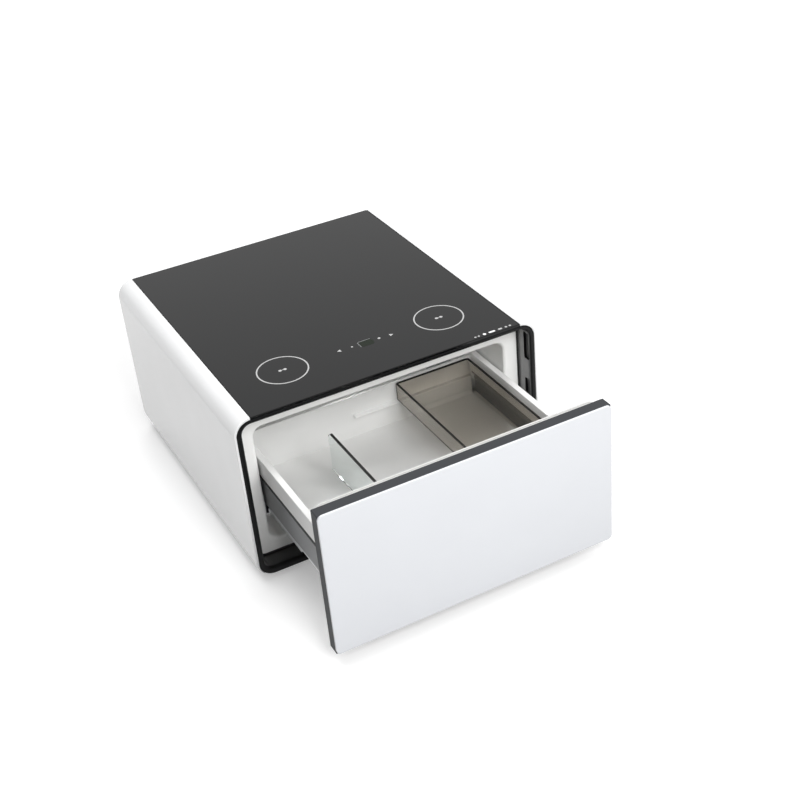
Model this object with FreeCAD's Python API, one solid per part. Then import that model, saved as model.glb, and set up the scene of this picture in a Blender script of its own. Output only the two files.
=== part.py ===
import FreeCAD, Part
import math
import os

# Refrigerator side table: a drawer refrigerator in a rounded white cabinet with a black glass top.
# Millimetres, +Z up, +X to the right seen from the front, +Y to the back.
# The origin is the centre of the cabinet's footprint, on the floor.
# The drawer stands open at rest by drawer_open. Its pieces are drawn shut and then moved out.

V = FreeCAD.Vector

# Cabinet wrap and feet
cabinet_width = 800.0
cabinet_depth = 830.0
cabinet_height = 460.0
foot_height = 13.0
wrap_wall = 6.0
corner_radius = 44.0
wrap_edge_round = 1.5
foot_side_inset = 78.0
foot_end_inset = 75.0
foot_pad_radius = 20.0
foot_pad_height = 8.0
foot_stem_radius = 4.0
foot_stem_reach = 18.0
foot_nut_across = 15.0
insert_radius = 8.0
insert_height = 20.0

# Clearances and the one overrun that every cut uses
seat_gap = 0.3
running_gap = 0.05
overrun = 5.0

# Glass top, the panel under it and the chargers
glass_thickness = 6.0
glass_side_gap = 2.0
glass_edge_chamfer = 1.5
panel_thickness = 8.0
panel_side_gap = 1.0
charger_x = 211.0
charger_setback = 150.0
coil_radius = 50.0
coil_bore_radius = 18.0
coil_thickness = 2.8
coil_pocket_gap = 1.0
touch_board_length = 220.0
touch_board_width = 50.0
touch_board_thickness = 1.6

# Front frame round the opening
frame_side_face = 15.0
frame_top_face = 13.0
frame_sill_face = 13.0
frame_depth = 55.0
frame_edge_round = 4.0
throat_round_share = 0.9
frame_sill_depth = 30.0
frame_rebate = 0.5
grip_height = 76.0
grip_step = 57.0
grip_top_drop = 19.0
grip_front_wall = 3.5
grip_reach = 22.5
grip_set_in = 7.0
grip_corner = 6.0

# Insulated cavity
liner_wall = 3.0
liner_flange_overlap = 4.0
liner_mouth_round = 8.0
side_insulation = 57.0
bottom_insulation = 51.0
top_insulation = 56.0
rear_insulation = 47.0
machine_depth = 203.0
cavity_radius = 25.0
evaporator_thickness = 4.0
evaporator_margin = 50.0
lamp_length = 120.0
lamp_width = 20.0
lamp_height = 8.0
lamp_setback = 240.0
sensor_length = 24.0
sensor_width = 12.0
sensor_height = 9.0
sensor_back_gap = 55.0

# Drawer front
drawer_open = 366.0
door_side_gap = 13.0
door_top_gap = 25.0
door_bottom_gap = 5.0
door_glass_thickness = 5.0
door_glass_corner = 12.0
door_glass_edge_round = 1.0
door_body_corner = 3.0
door_body_thickness = 29.0
door_wall = 12.0
door_panel_thickness = 3.6
door_panel_inset = 2.0
gasket_width = 16.0
gasket_overlap = 3.0
gasket_gap = 0.6

# Drawer box
drawer_side_gap = 5.0
drawer_height = 133.0
drawer_rise_share = 100 / 187
drawer_back_gap = 15.0
rim_width = 16.0
rim_height = 52.0
rim_edge_round = 2.0
side_wall = 2.0
side_recess = 0.5
side_groove_height = 13.0
side_groove_depth = 6.0
floor_thickness = 4.0
back_thickness = 6.0
back_drop = 11.0
bracket_wall = 2.0
bracket_reach = 38.0
bracket_flange = 20.0
bracket_height = 52.0
bracket_lift = 4.0
bracket_screw_shares = (0.25, 0.75)
screw_head_radius = 4.5
screw_head_height = 2.4
screw_shank_radius = 1.9

# Telescopic slides under the drawer
slide_width = 24.0
slide_wall = 2.0
slide_inset = 2.0
slide_flange_height = 9.0
slide_web = 4.0
slide_lip = 6.0
slide_web_height = 8.0
slide_leg_height = 58.0
slide_front_gap = 10.0
slide_screw_shares = (0.1, 0.5, 0.9)
slide_middle_share = 0.5

# Divider and fruit tray in the drawer
divider_place_share = -0.446
divider_thickness = 6.0
divider_drop = 10.0
divider_front_gap = 9.0
divider_length = 404.0
divider_corner = 12.0
divider_trim_height = 3.0
divider_rail_width = 14.0
divider_rail_height = 4.0
divider_rail_shares = (0.2, 0.62)
shoe_length = 60.0
shoe_width = 30.0
shoe_roof = 4.0
shoe_groove = 8.0
tray_width = 212.0
tray_height = 50.0
tray_wall = 3.0
tray_rim_height = 3.0
tray_side_gap = 8.0
tray_drop = 13.0
tray_end_gap = 3.5
tray_travel = 120.0
ledge_depth = 15.0
ledge_thickness = 3.0
ledge_margin = 4.0

# Machine compartment
bulkhead_thickness = 1.5
base_plate_thickness = 2.0
base_plate_margin = 6.0
rear_frame_depth = 12.0
rear_frame_face = 18.0
rear_cover_thickness = 3.0
rear_cover_set_in = 3.0
rear_screw_inset = 9.0
vent_slot_width = 5.0
vent_slot_height = 96.0
vent_pitch = 13.0
vent_centre_shares = (-0.55, 0.5)
vent_rise = 23.5
vent_group_width = 230.0
compressor_share = -0.6
compressor_radius = 60.0
compressor_height = 140.0
compressor_crown = 24.0
compressor_plate_thickness = 3.0
compressor_plate_length = 150.0
compressor_plate_width = 110.0
compressor_plate_corner = 14.0
grommet_radius = 10.0
grommet_height = 12.0
grommet_inset = 16.0
stub_radius = 5.0
stub_length = 14.0
stub_height_share = 0.62
terminal_box_length = 40.0
terminal_box_width = 22.0
terminal_box_height = 46.0
drip_tray_length = 150.0
drip_tray_width = 120.0
drip_tray_height = 22.0
drip_tray_wall = 2.0
fan_share = 0.02
fan_size = 130.0
fan_depth = 36.0
fan_wall = 4.0
fan_spoke = 6.0
fan_spoke_depth = 5.0
fan_motor_radius = 22.0
fan_motor_length = 9.0
fan_shaft_radius = 3.0
fan_shaft_length = 17.0
fan_hub_radius = 24.0
fan_hub_length = 15.0
fan_tip_gap = 4.0
fan_blade_chord = 30.0
fan_blade_thickness = 2.0
fan_blade_pitch = 32.0
fan_blades = 7
fan_hub_gap = 2.0
condenser_start_share = 0.3
condenser_end_share = 0.93
condenser_loops = 4
condenser_pitch = 24.0
condenser_bend_share = 0.45
condenser_tube_radius = 3.0
condenser_lift = 16.0
condenser_bracket_wall = 2.0
condenser_bracket_width = 40.0
condenser_bracket_inset = 24.0
condenser_bracket_head = 14.0
drier_radius = 9.0
drier_length = 70.0
drier_crown = 3.0
line_radius = 3.0
line_bend = 16.0
line_rise = 26.0
control_box_length = 170.0
control_box_height = 90.0
control_box_depth = 44.0
control_box_wall = 2.5
control_box_share = 0.45
control_box_drop = 18.0
inlet_width = 46.0
inlet_height = 26.0
inlet_depth = 24.0
inlet_flange = 4.0
inlet_flange_thickness = 2.0
inlet_wall = 2.0
inlet_pin_length = 15.0
inlet_pin_width = 4.0
inlet_pin_thickness = 2.0
inlet_pin_spread = 7.0
inlet_pin_rise = 4.0
inlet_share = -0.82
inlet_lift = 70.0

# Planes and half widths that several pieces share
half_width = cabinet_width / 2
front_y = -cabinet_depth / 2
back_y = cabinet_depth / 2
wrap_floor = foot_height + wrap_wall
inner_half = half_width - wrap_wall
inner_radius = corner_radius - wrap_wall
glass_bottom = cabinet_height - glass_thickness
glass_seat_half = half_width - corner_radius
panel_bottom = glass_bottom - panel_thickness
flange_y = front_y + frame_depth
frame_half = inner_half - frame_side_face
frame_bottom = wrap_floor + frame_sill_face
frame_top = glass_bottom - frame_top_face
frame_radius = inner_radius - frame_top_face
throat_round = throat_round_share * (frame_top_face - frame_edge_round)
charger_y = front_y + charger_setback
bulkhead_y = back_y - machine_depth
cavity_half = inner_half - side_insulation
cavity_bottom = wrap_floor + bottom_insulation
cavity_top = panel_bottom - top_insulation
cavity_back = bulkhead_y - rear_insulation

# Drawer planes, with the drawer shut
door_half = frame_half - door_side_gap
door_bottom = frame_bottom + door_bottom_gap
door_top = frame_top - door_top_gap
door_body_front = front_y + door_glass_thickness
door_body_back = door_body_front + door_body_thickness
door_back = door_body_back + door_panel_thickness
drawer_half = cavity_half - drawer_side_gap
drawer_back = cavity_back - drawer_back_gap
drawer_bottom = cavity_bottom + drawer_rise_share * (cavity_top - cavity_bottom - drawer_height)
rim_top = drawer_bottom + drawer_height
rim_bottom = rim_top - rim_height
rim_inner = drawer_half - rim_width
floor_top = drawer_bottom + floor_thickness
side_outer = drawer_half - side_recess
side_inner = side_outer - side_wall
back_front = drawer_back - back_thickness

# Machine compartment planes
base_top = wrap_floor + base_plate_thickness
base_half = glass_seat_half - base_plate_margin
machine_front = bulkhead_y + bulkhead_thickness
cover_back = back_y - rear_cover_set_in
cover_front = cover_back - rear_cover_thickness
rear_frame_front = cover_front - rear_frame_depth
machine_mid = (machine_front + rear_frame_front) / 2
compressor_x = compressor_share * base_half
plate_bottom = base_top + grommet_height
shell_bottom = plate_bottom + compressor_plate_thickness
shell_top = shell_bottom + compressor_height
fan_x = fan_share * base_half
fan_z = base_top + fan_size / 2
fan_back = fan_x - fan_depth / 2
condenser_left = condenser_start_share * base_half
condenser_right = condenser_end_share * base_half
condenser_bottom = base_top + condenser_lift
condenser_rows = 2 * condenser_loops
condenser_top = condenser_bottom + condenser_pitch * (condenser_rows - 1)


def block(x_low, x_high, y_low, y_high, z_low, z_high):
    """A box between two corners."""
    corner = V(x_low, y_low, z_low)
    return Part.makeBox(x_high - x_low, y_high - y_low, z_high - z_low, corner)


def edges_along(shape, axis):
    """The edges of a shape that run along the axis X, Y or Z."""
    found = []
    for edge in shape.Edges:
        box = edge.BoundBox
        spans = {"X": box.XLength, "Y": box.YLength, "Z": box.ZLength}
        along = spans.pop(axis)
        if along > max(spans.values()):
            found.append(edge)
    return found


def rounded_block(limits, radius, axis):
    """A box, given as six limits, whose edges along one axis are rounded."""
    plain = block(*limits)
    return plain.makeFillet(radius, edges_along(plain, axis))


def edges_in_plane(shape, axis, place):
    """The edges of a shape that lie in one plane across X, Y or Z."""
    found = []
    for edge in shape.Edges:
        spots = [getattr(vertex.Point, axis.lower()) for vertex in edge.Vertexes]
        middle = getattr(edge.BoundBox.Center, axis.lower())
        if max(abs(spot - place) for spot in spots + [middle]) < running_gap:
            found.append(edge)
    return found


def run_y(outline, y_low, y_high):
    """A closed outline of X and Z points, run along Y."""
    points = [V(x, y_low, z) for x, z in outline]
    face = Part.Face(Part.makePolygon(points + points[:1]))
    return face.extrude(V(0, y_high - y_low, 0))


def rod(radius, start, end):
    """A round bar between two points."""
    line = end - start
    return Part.makeCylinder(radius, line.Length, start, line)


def bent_tube(points, radius, bend):
    """A round bar along straight runs that tangent arcs join."""
    edges = []
    start = points[0]
    for before, corner, after in zip(points, points[1:], points[2:]):
        inward = (before - corner).normalize()
        outward = (after - corner).normalize()
        half_angle = inward.getAngle(outward) / 2
        setback = bend / math.tan(half_angle)
        middle = (inward + outward).normalize() * (bend / math.sin(half_angle) - bend)
        arc_start = corner + inward * setback
        arc_end = corner + outward * setback
        edges.append(Part.makeLine(start, arc_start))
        edges.append(Part.Arc(arc_start, corner + middle, arc_end).toShape())
        start = arc_end
    edges.append(Part.makeLine(start, points[-1]))
    section = Part.Wire(Part.makeCircle(radius, points[0], points[1] - points[0]))
    return Part.Wire(edges).makePipeShell([section], True, False)


def mirrored(shape):
    """The same piece on the other side of the cabinet."""
    return shape.mirror(V(0, 0, 0), V(1, 0, 0))


def moved(shape, x=0, y=0, z=0):
    """A copy of a shape at another place."""
    copy = shape.copy()
    copy.translate(V(x, y, z))
    return copy


def group(shapes):
    """Several separate solids in one node."""
    return Part.makeCompound(shapes)


def save(name, shape):
    """Write one node."""
    shape.exportStep("parts/" + name + ".step")


def save_open(name, shape, travel_share=1):
    """Write a node of the drawer, moved out by its share of the drawer's travel."""
    save(name, moved(shape, y=-drawer_open * travel_share))


def foot_places():
    """The names and places of the four feet."""
    places = {}
    for side, x in (("left", -half_width + foot_side_inset), ("right", half_width - foot_side_inset)):
        places["front_" + side] = (x, front_y + foot_end_inset)
        places["rear_" + side] = (x, back_y - foot_end_inset)
    return places


# Cabinet

def wrap_shell():
    """White skin round both sides and the floor, open at the top between its two shoulders."""
    limits = (-half_width, half_width, front_y, back_y, foot_height, cabinet_height)
    skin = rounded_block(limits, corner_radius, "Y")
    rims = edges_in_plane(skin, "Y", front_y) + edges_in_plane(skin, "Y", back_y)
    skin = skin.makeFillet(wrap_edge_round, rims)
    front = front_y - overrun
    back = back_y + overrun
    hollow_limits = (-inner_half, inner_half, front, back, wrap_floor, glass_bottom)
    hollow = rounded_block(hollow_limits, inner_radius, "Y")
    bay_low = glass_bottom - wrap_wall
    bay = block(-glass_seat_half, glass_seat_half, front, back, bay_low, cabinet_height + overrun)
    rebate_half = inner_half + frame_rebate
    rebate_back = front_y + frame_sill_depth
    rebate_limits = (-rebate_half, rebate_half, front, rebate_back, foot_height, glass_bottom + frame_rebate)
    rebate = rounded_block(rebate_limits, inner_radius + frame_rebate, "Y")
    sill_room = block(-half_width, half_width, front, rebate_back, 0, wrap_floor + wrap_wall)
    cuts = [hollow, bay, rebate, sill_room]
    for x, y in foot_places().values():
        cuts.append(rod(foot_stem_radius + seat_gap, V(x, y, 0), V(x, y, wrap_floor + overrun)))
    return skin.cut(cuts)


def grip_pockets():
    """Finger recesses in the frame's two inner sides, one above the other."""
    low_y = front_y + grip_front_wall
    pockets = []
    for level in range(2):
        top = frame_top - grip_top_drop - level * (grip_height + grip_step)
        depth = frame_half + grip_set_in
        limits = (frame_half - overrun, depth, low_y, low_y + grip_reach, top - grip_height, top)
        pocket = rounded_block(limits, grip_corner, "X")
        pockets += [pocket, mirrored(pocket)]
    return pockets


def front_frame():
    """Black frame round the drawer opening, with a sill that covers the wrap's lower front edge."""
    rear_half = inner_half - seat_gap
    front_half = rear_half + frame_rebate
    front_top = glass_bottom - seat_gap
    front_radius = inner_radius + frame_rebate - seat_gap
    sill_back = front_y + frame_sill_depth - seat_gap
    front_limits = (-front_half, front_half, front_y, sill_back, foot_height, front_top)
    frame = rounded_block(front_limits, front_radius, "Y")
    frame = frame.makeFillet(frame_edge_round, edges_in_plane(frame, "Y", front_y))
    rear_top = front_top - frame_rebate
    rear_limits = (-rear_half, rear_half, sill_back, flange_y, wrap_floor + seat_gap, rear_top)
    frame = frame.fuse(rounded_block(rear_limits, inner_radius - seat_gap, "Y"))
    throat_limits = (-frame_half, frame_half, front_y - overrun, flange_y + overrun, frame_bottom, frame_top)
    frame = frame.cut(rounded_block(throat_limits, frame_radius, "Y"))
    inner_rim = [e for e in edges_in_plane(frame, "Y", front_y) if e.BoundBox.XMax < frame_half + running_gap
                 and e.BoundBox.XMin > -frame_half - running_gap
                 and e.BoundBox.ZMax < frame_top + running_gap]
    inner_rim = [e for e in inner_rim if e.BoundBox.ZMin > frame_bottom - running_gap]
    frame = frame.makeFillet(throat_round, inner_rim)
    return frame.cut(grip_pockets()).removeSplitter()


def top_glass():
    """Black glass table top between the shoulders."""
    half = glass_seat_half - glass_side_gap
    glass = block(-half, half, front_y, back_y, glass_bottom, cabinet_height)
    return glass.makeChamfer(glass_edge_chamfer, edges_in_plane(glass, "Z", cabinet_height))


def charger_places():
    """Where the two wireless chargers are, from left to right."""
    return [-charger_x, charger_x]


def top_panel():
    """Panel under the glass, with pockets for the charger coils and the touch board."""
    half = glass_seat_half - panel_side_gap
    panel = block(-half, half, flange_y + seat_gap, rear_frame_front - seat_gap, panel_bottom, glass_bottom)
    cuts = []
    for x in charger_places():
        start = V(x, charger_y, glass_bottom - coil_thickness)
        cuts.append(rod(coil_radius + coil_pocket_gap, start, start + V(0, 0, coil_thickness + overrun)))
    board_half = touch_board_length / 2 + coil_pocket_gap
    board_side = touch_board_width / 2 + coil_pocket_gap
    low = glass_bottom - touch_board_thickness
    cuts.append(block(-board_half, board_half, charger_y - board_side, charger_y + board_side, low,
                      glass_bottom + overrun))
    return panel.cut(cuts)


def charging_coil(x):
    """Flat wound coil of one wireless charger."""
    start = V(x, charger_y, glass_bottom - coil_thickness)
    end = start + V(0, 0, coil_thickness - seat_gap)
    return rod(coil_radius, start, end).cut(rod(coil_bore_radius, start, end))


def touch_board():
    """Circuit board behind the touch keys and the display."""
    low = glass_bottom - touch_board_thickness
    side = touch_board_width / 2
    half = touch_board_length / 2
    return block(-half, half, charger_y - side, charger_y + side, low, glass_bottom - seat_gap)


def foot(x, y):
    """Levelling foot: a pad, a nut to turn it by and a screw stem."""
    nut_top = foot_height - seat_gap
    pad = rod(foot_pad_radius, V(x, y, 0), V(x, y, foot_pad_height))
    corner_reach = foot_nut_across / math.sqrt(3)
    corners = []
    for step in range(6):
        angle = math.radians(60 * step)
        corner_x = x + corner_reach * math.cos(angle)
        corner_y = y + corner_reach * math.sin(angle)
        corners.append(V(corner_x, corner_y, foot_pad_height))
    nut = Part.Face(Part.makePolygon(corners + corners[:1])).extrude(V(0, 0, nut_top - foot_pad_height))
    stem = rod(foot_stem_radius, V(x, y, foot_pad_height), V(x, y, wrap_floor + foot_stem_reach))
    return pad.fuse([nut, stem]).removeSplitter()


def foot_insert(x, y):
    """Threaded bush that a foot screws into."""
    top = wrap_floor + insert_height
    bush = rod(insert_radius, V(x, y, wrap_floor), V(x, y, top))
    return bush.cut(rod(foot_stem_radius + running_gap, V(x, y, foot_height), V(x, y, top + overrun)))


def insert_room(x, y):
    """Space that a foot insert takes out of what surrounds it."""
    top = wrap_floor + insert_height + seat_gap
    return rod(insert_radius + seat_gap, V(x, y, foot_height), V(x, y, top))


# Insulated cavity

def cavity_block(grow, y_low, y_high):
    """The cavity's own shape, grown on every side."""
    half = cavity_half + grow
    limits = (-half, half, y_low, y_high, cavity_bottom - grow, cavity_top + grow)
    return rounded_block(limits, cavity_radius + grow, "Y")


def inner_liner():
    """White moulded liner: a tub with a flange round its mouth, and a rounded edge between them."""
    half = frame_half + liner_flange_overlap
    low = frame_bottom - liner_flange_overlap
    high = frame_top + liner_flange_overlap
    flange_back = flange_y + liner_wall
    radius = frame_radius + liner_flange_overlap
    flange = rounded_block((-half, half, flange_y, flange_back, low, high), radius, "Y")
    outer = flange.fuse(cavity_block(liner_wall, flange_y, cavity_back + liner_wall)).removeSplitter()
    neck = [e for e in edges_in_plane(outer, "Y", flange_back)
            if e.BoundBox.ZMax < cavity_top + 2 * liner_wall
            and e.BoundBox.ZMin > cavity_bottom - 2 * liner_wall]
    outer = outer.makeFillet(liner_mouth_round - liner_wall, neck)
    liner = outer.cut(cavity_block(0, flange_y - overrun, cavity_back))
    mouth = [e for e in edges_in_plane(liner, "Y", flange_y) if e.BoundBox.ZMax < cavity_top + running_gap
             and e.BoundBox.ZMin > cavity_bottom - running_gap]
    return liner.makeFillet(liner_mouth_round, mouth)


def insulation():
    """Foam between the liner and the wrap."""
    half = inner_half - seat_gap
    front = flange_y + liner_wall
    limits = (-half, half, front, bulkhead_y, wrap_floor + seat_gap, glass_bottom - seat_gap)
    foam = rounded_block(limits, inner_radius - seat_gap, "Y")
    foam = foam.cut(cavity_block(liner_wall + seat_gap, front - overrun, cavity_back + liner_wall + seat_gap))
    mouth = [e for e in edges_in_plane(foam, "Y", front) if e.BoundBox.ZMax < cavity_top + 2 * liner_wall
             and e.BoundBox.ZMin > cavity_bottom - 2 * liner_wall]
    foam = foam.makeFillet(liner_mouth_round - liner_wall, mouth)
    cuts = [block(-half, half, front - overrun, bulkhead_y + overrun, panel_bottom, glass_bottom + overrun)]
    cuts += [insert_room(x, y) for x, y in foot_places().values()]
    return foam.cut(cuts)


def evaporator_plate():
    """Cold plate on the liner's back wall."""
    half = cavity_half - evaporator_margin
    low = cavity_bottom + evaporator_margin
    high = cavity_top - evaporator_margin
    return block(-half, half, cavity_back - evaporator_thickness, cavity_back, low, high)


def cavity_light():
    """Lamp under the cavity's ceiling."""
    front = flange_y + lamp_setback
    half = lamp_length / 2
    return block(-half, half, front, front + lamp_width, cavity_top - lamp_height, cavity_top)


def temperature_sensor():
    """Sensor capsule under the cavity's ceiling, near the back."""
    back = cavity_back - sensor_back_gap
    half = sensor_length / 2
    return block(-half, half, back - sensor_width, back, cavity_top - sensor_height, cavity_top)


# Drawer front

def door_outline(inset, y_low, y_high, radius):
    """The drawer front's outline, drawn in by an inset."""
    half = door_half - inset
    return rounded_block((-half, half, y_low, y_high, door_bottom + inset, door_top - inset), radius, "Y")


def drawer_front_glass():
    """White glass panel on the drawer front."""
    glass = door_outline(0, front_y, door_body_front, door_glass_corner)
    return glass.makeFillet(door_glass_edge_round, edges_in_plane(glass, "Y", front_y))


def door_frame():
    """Dark frame that makes the drawer front's edge."""
    outer = door_outline(0, door_body_front, door_body_back, door_body_corner)
    room = block(-door_half + door_wall, door_half - door_wall, front_y, door_back, door_bottom + door_wall,
                 door_top - door_wall)
    return outer.cut(room)


def door_foam():
    """Foam inside the drawer front."""
    grow = door_wall + seat_gap
    return block(-door_half + grow, door_half - grow, door_body_front, door_body_back, door_bottom + grow,
                 door_top - grow)


def door_inner_panel():
    """White panel on the back of the drawer front."""
    return door_outline(door_panel_inset, door_body_back, door_back, door_body_corner)


def door_gasket():
    """Soft seal on the back of the drawer front, which meets the liner's flange."""
    end = flange_y - gasket_gap
    outer = cavity_block(gasket_overlap + gasket_width, door_back, end)
    return outer.cut(cavity_block(gasket_overlap, door_back - overrun, end + overrun))


# Drawer box

def drawer_rim():
    """Box section along the top of the drawer's right side."""
    rim = block(rim_inner, drawer_half, door_back, drawer_back, rim_bottom, rim_top)
    tops = [e for e in edges_along(rim, "Y") if e.BoundBox.ZMin > rim_bottom + running_gap]
    return rim.makeFillet(rim_edge_round, tops)


def drawer_side():
    """Steel side under the right rim, with a groove between the two."""
    groove = rim_bottom - side_groove_height
    web_outer = side_outer - side_groove_depth
    web_inner = web_outer - side_wall
    outline = [(web_inner, rim_bottom), (web_outer, rim_bottom), (web_outer, groove), (side_outer, groove),
               (side_outer, drawer_bottom), (side_inner, drawer_bottom), (side_inner, groove - side_wall),
               (web_inner, groove - side_wall)]
    return run_y(outline, door_back, drawer_back)


def drawer_floor():
    """Floor of the drawer."""
    return block(-side_inner, side_inner, door_back, drawer_back, drawer_bottom, floor_top)


def drawer_back_wall():
    """Back wall of the drawer."""
    return block(-rim_inner + seat_gap, rim_inner - seat_gap, back_front, drawer_back, floor_top,
                 rim_top - back_drop)


def front_bracket():
    """Angle that holds the drawer's right side to the drawer front."""
    low = floor_top + bracket_lift
    high = low + bracket_height
    inner = side_inner - bracket_flange
    outline = [(inner, door_back), (side_inner, door_back), (side_inner, door_back + bracket_reach),
               (side_inner - bracket_wall, door_back + bracket_reach),
               (side_inner - bracket_wall, door_back + bracket_wall), (inner, door_back + bracket_wall)]
    points = [V(x, y, low) for x, y in outline]
    return Part.Face(Part.makePolygon(points + points[:1])).extrude(V(0, 0, high - low))


def bracket_screw(level_share):
    """Pan head of a screw on the right bracket's flange."""
    x = side_inner - (bracket_flange + bracket_wall) / 2
    z = floor_top + bracket_lift + bracket_height * level_share
    seat = door_back + bracket_wall
    return rod(screw_head_radius, V(x, seat, z), V(x, seat + screw_head_height, z))


# Telescopic slides

slide_outer = side_inner - slide_inset
slide_mid = slide_outer - slide_width / 2
slide_start = flange_y + slide_front_gap
slide_end = drawer_back
flange_half = slide_width / 2 - slide_wall - seat_gap
cradle_height = slide_wall + seat_gap + slide_flange_height + seat_gap + slide_wall
slide_top = drawer_bottom
slide_bottom = slide_top - 2 * (cradle_height - seat_gap - slide_wall) - slide_web_height


def cradle(direction, base):
    """Points of a channel with two lips, open up or down, from the left lip to the right lip."""
    half = slide_width / 2
    inner = half - slide_wall
    floor = base + direction * slide_wall
    lip_low = base + direction * (cradle_height - slide_wall)
    lip_high = base + direction * cradle_height
    left = [(-inner + slide_lip, lip_high), (-half, lip_high), (-half, base)]
    right = [(half, base), (half, lip_high), (inner - slide_lip, lip_high)]
    inside = [(inner - slide_lip, lip_low), (inner, lip_low), (inner, floor), (-inner, floor),
              (-inner, lip_low), (-inner + slide_lip, lip_low)]
    return left, right, inside


def slide_cabinet_member():
    """Lower channel of the right slide, with a leg screwed to the liner's wall."""
    left, right, inside = cradle(1, slide_bottom)
    foot_top = slide_bottom + slide_wall
    leg = cavity_half - slide_mid
    leg_points = [(leg, slide_bottom), (leg, slide_bottom + slide_leg_height),
                  (leg - slide_wall, slide_bottom + slide_leg_height), (leg - slide_wall, foot_top),
                  (slide_width / 2, foot_top)]
    outline = left + leg_points + right[1:] + inside
    return run_y([(slide_mid + x, z) for x, z in outline], slide_start, slide_end)


def slide_middle_member():
    """Double flanged beam of the right slide, which runs in both channels."""
    low = slide_bottom + slide_wall + seat_gap
    high = slide_top - slide_wall - seat_gap
    web = slide_web / 2
    outline = [(-flange_half, low), (flange_half, low), (flange_half, low + slide_flange_height),
               (web, low + slide_flange_height), (web, high - slide_flange_height),
               (flange_half, high - slide_flange_height), (flange_half, high), (-flange_half, high),
               (-flange_half, high - slide_flange_height), (-web, high - slide_flange_height),
               (-web, low + slide_flange_height), (-flange_half, low + slide_flange_height)]
    return run_y([(slide_mid + x, z) for x, z in outline], slide_start, slide_end)


def slide_drawer_member():
    """Upper channel of the right slide, under the drawer's floor."""
    left, right, inside = cradle(-1, slide_top)
    return run_y([(slide_mid + x, z) for x, z in left + right + inside], slide_start, slide_end)


def slide_screw(place_share):
    """Pan head screw that holds the right slide's leg to the liner."""
    y = slide_start + place_share * (slide_end - slide_start)
    z = slide_bottom + slide_leg_height - 2 * screw_head_radius
    seat = cavity_half - slide_wall
    return rod(screw_head_radius, V(seat - screw_head_height, y, z), V(seat, y, z))


# Divider and fruit tray

divider_x = divider_place_share * rim_inner
divider_top = rim_top - divider_drop
divider_front = door_back + divider_front_gap
shoe_bottom = floor_top + seat_gap
shoe_top = floor_top + divider_rail_height + seat_gap + shoe_roof + shoe_groove
glass_foot = shoe_top - shoe_groove


def rail_places():
    """Where the two divider rails cross the drawer, from front to back."""
    return [divider_front + share * divider_length for share in divider_rail_shares]


def divider_rails():
    """Two low rails across the drawer's floor."""
    half = divider_rail_width / 2
    reach = side_inner - slide_inset
    return group([block(-reach, reach, y - half, y + half, floor_top, floor_top + divider_rail_height)
                  for y in rail_places()])


def divider_shoe(y):
    """Clip that straddles a rail and holds the divider's foot in a groove."""
    half = shoe_width / 2
    side = shoe_length / 2
    shoe = block(divider_x - half, divider_x + half, y - side, y + side, shoe_bottom, shoe_top)
    rail_half = divider_rail_width / 2 + seat_gap
    tunnel_top = floor_top + divider_rail_height + seat_gap
    tunnel = block(divider_x - shoe_width, divider_x + shoe_width, y - rail_half, y + rail_half, floor_top,
                   tunnel_top)
    slot_half = divider_thickness / 2
    slot = block(divider_x - slot_half, divider_x + slot_half, y - shoe_length, y + shoe_length, glass_foot,
                 shoe_top + overrun)
    return shoe.cut([tunnel, slot])


def divider_glass():
    """Clear divider with a rounded corner at its back end."""
    half = divider_thickness / 2
    end = divider_front + divider_length
    top = divider_top - divider_trim_height
    glass = block(divider_x - half, divider_x + half, divider_front, end, glass_foot, top)
    corner = [e for e in edges_along(glass, "X") if e.BoundBox.YMin > end - running_gap
              and e.BoundBox.ZMin > top - running_gap]
    return glass.makeFillet(divider_corner, corner)


def divider_trim():
    """Dark strip along the divider's top."""
    half = divider_thickness / 2
    end = divider_front + divider_length - divider_corner
    low = divider_top - divider_trim_height
    return block(divider_x - half, divider_x + half, divider_front, end, low, divider_top)


tray_right = rim_inner - tray_side_gap
tray_left = tray_right - tray_width
tray_front = door_back + tray_end_gap
tray_back = back_front - tray_end_gap
tray_top = rim_top - tray_drop
tray_bottom = tray_top - tray_height


def fruit_tray():
    """Clear tray that rests on two ledges."""
    top = tray_top - tray_rim_height
    body = block(tray_left, tray_right, tray_front, tray_back, tray_bottom, top)
    room = block(tray_left + tray_wall, tray_right - tray_wall, tray_front + tray_wall, tray_back - tray_wall,
                 tray_bottom + tray_wall, top + overrun)
    return body.cut(room)


def fruit_tray_rim():
    """Dark rim along the tray's top edge."""
    low = tray_top - tray_rim_height
    rim = block(tray_left, tray_right, tray_front, tray_back, low, tray_top)
    room = block(tray_left + tray_wall, tray_right - tray_wall, tray_front + tray_wall, tray_back - tray_wall,
                 low - overrun, tray_top + overrun)
    return rim.cut(room)


def tray_ledges():
    """Ledges that carry the tray, on the drawer front and on the drawer's back wall."""
    left = tray_left - tray_travel - ledge_margin
    right = tray_right + ledge_margin
    high = tray_bottom - seat_gap
    low = high - ledge_thickness
    front = block(left, right, door_back, door_back + ledge_depth, low, high)
    back = block(left, right, back_front - ledge_depth, back_front, low, high)
    return group([front, back])


# Machine compartment

def bulkhead():
    """Steel sheet between the foam and the machine compartment."""
    half = base_half
    return block(-half, half, bulkhead_y, machine_front, base_top, panel_bottom)


def base_plate():
    """Steel plate that carries the machinery."""
    plate = block(-base_half, base_half, bulkhead_y, rear_frame_front - seat_gap, wrap_floor, base_top)
    return plate.cut([insert_room(x, y) for x, y in foot_places().values()])


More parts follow.
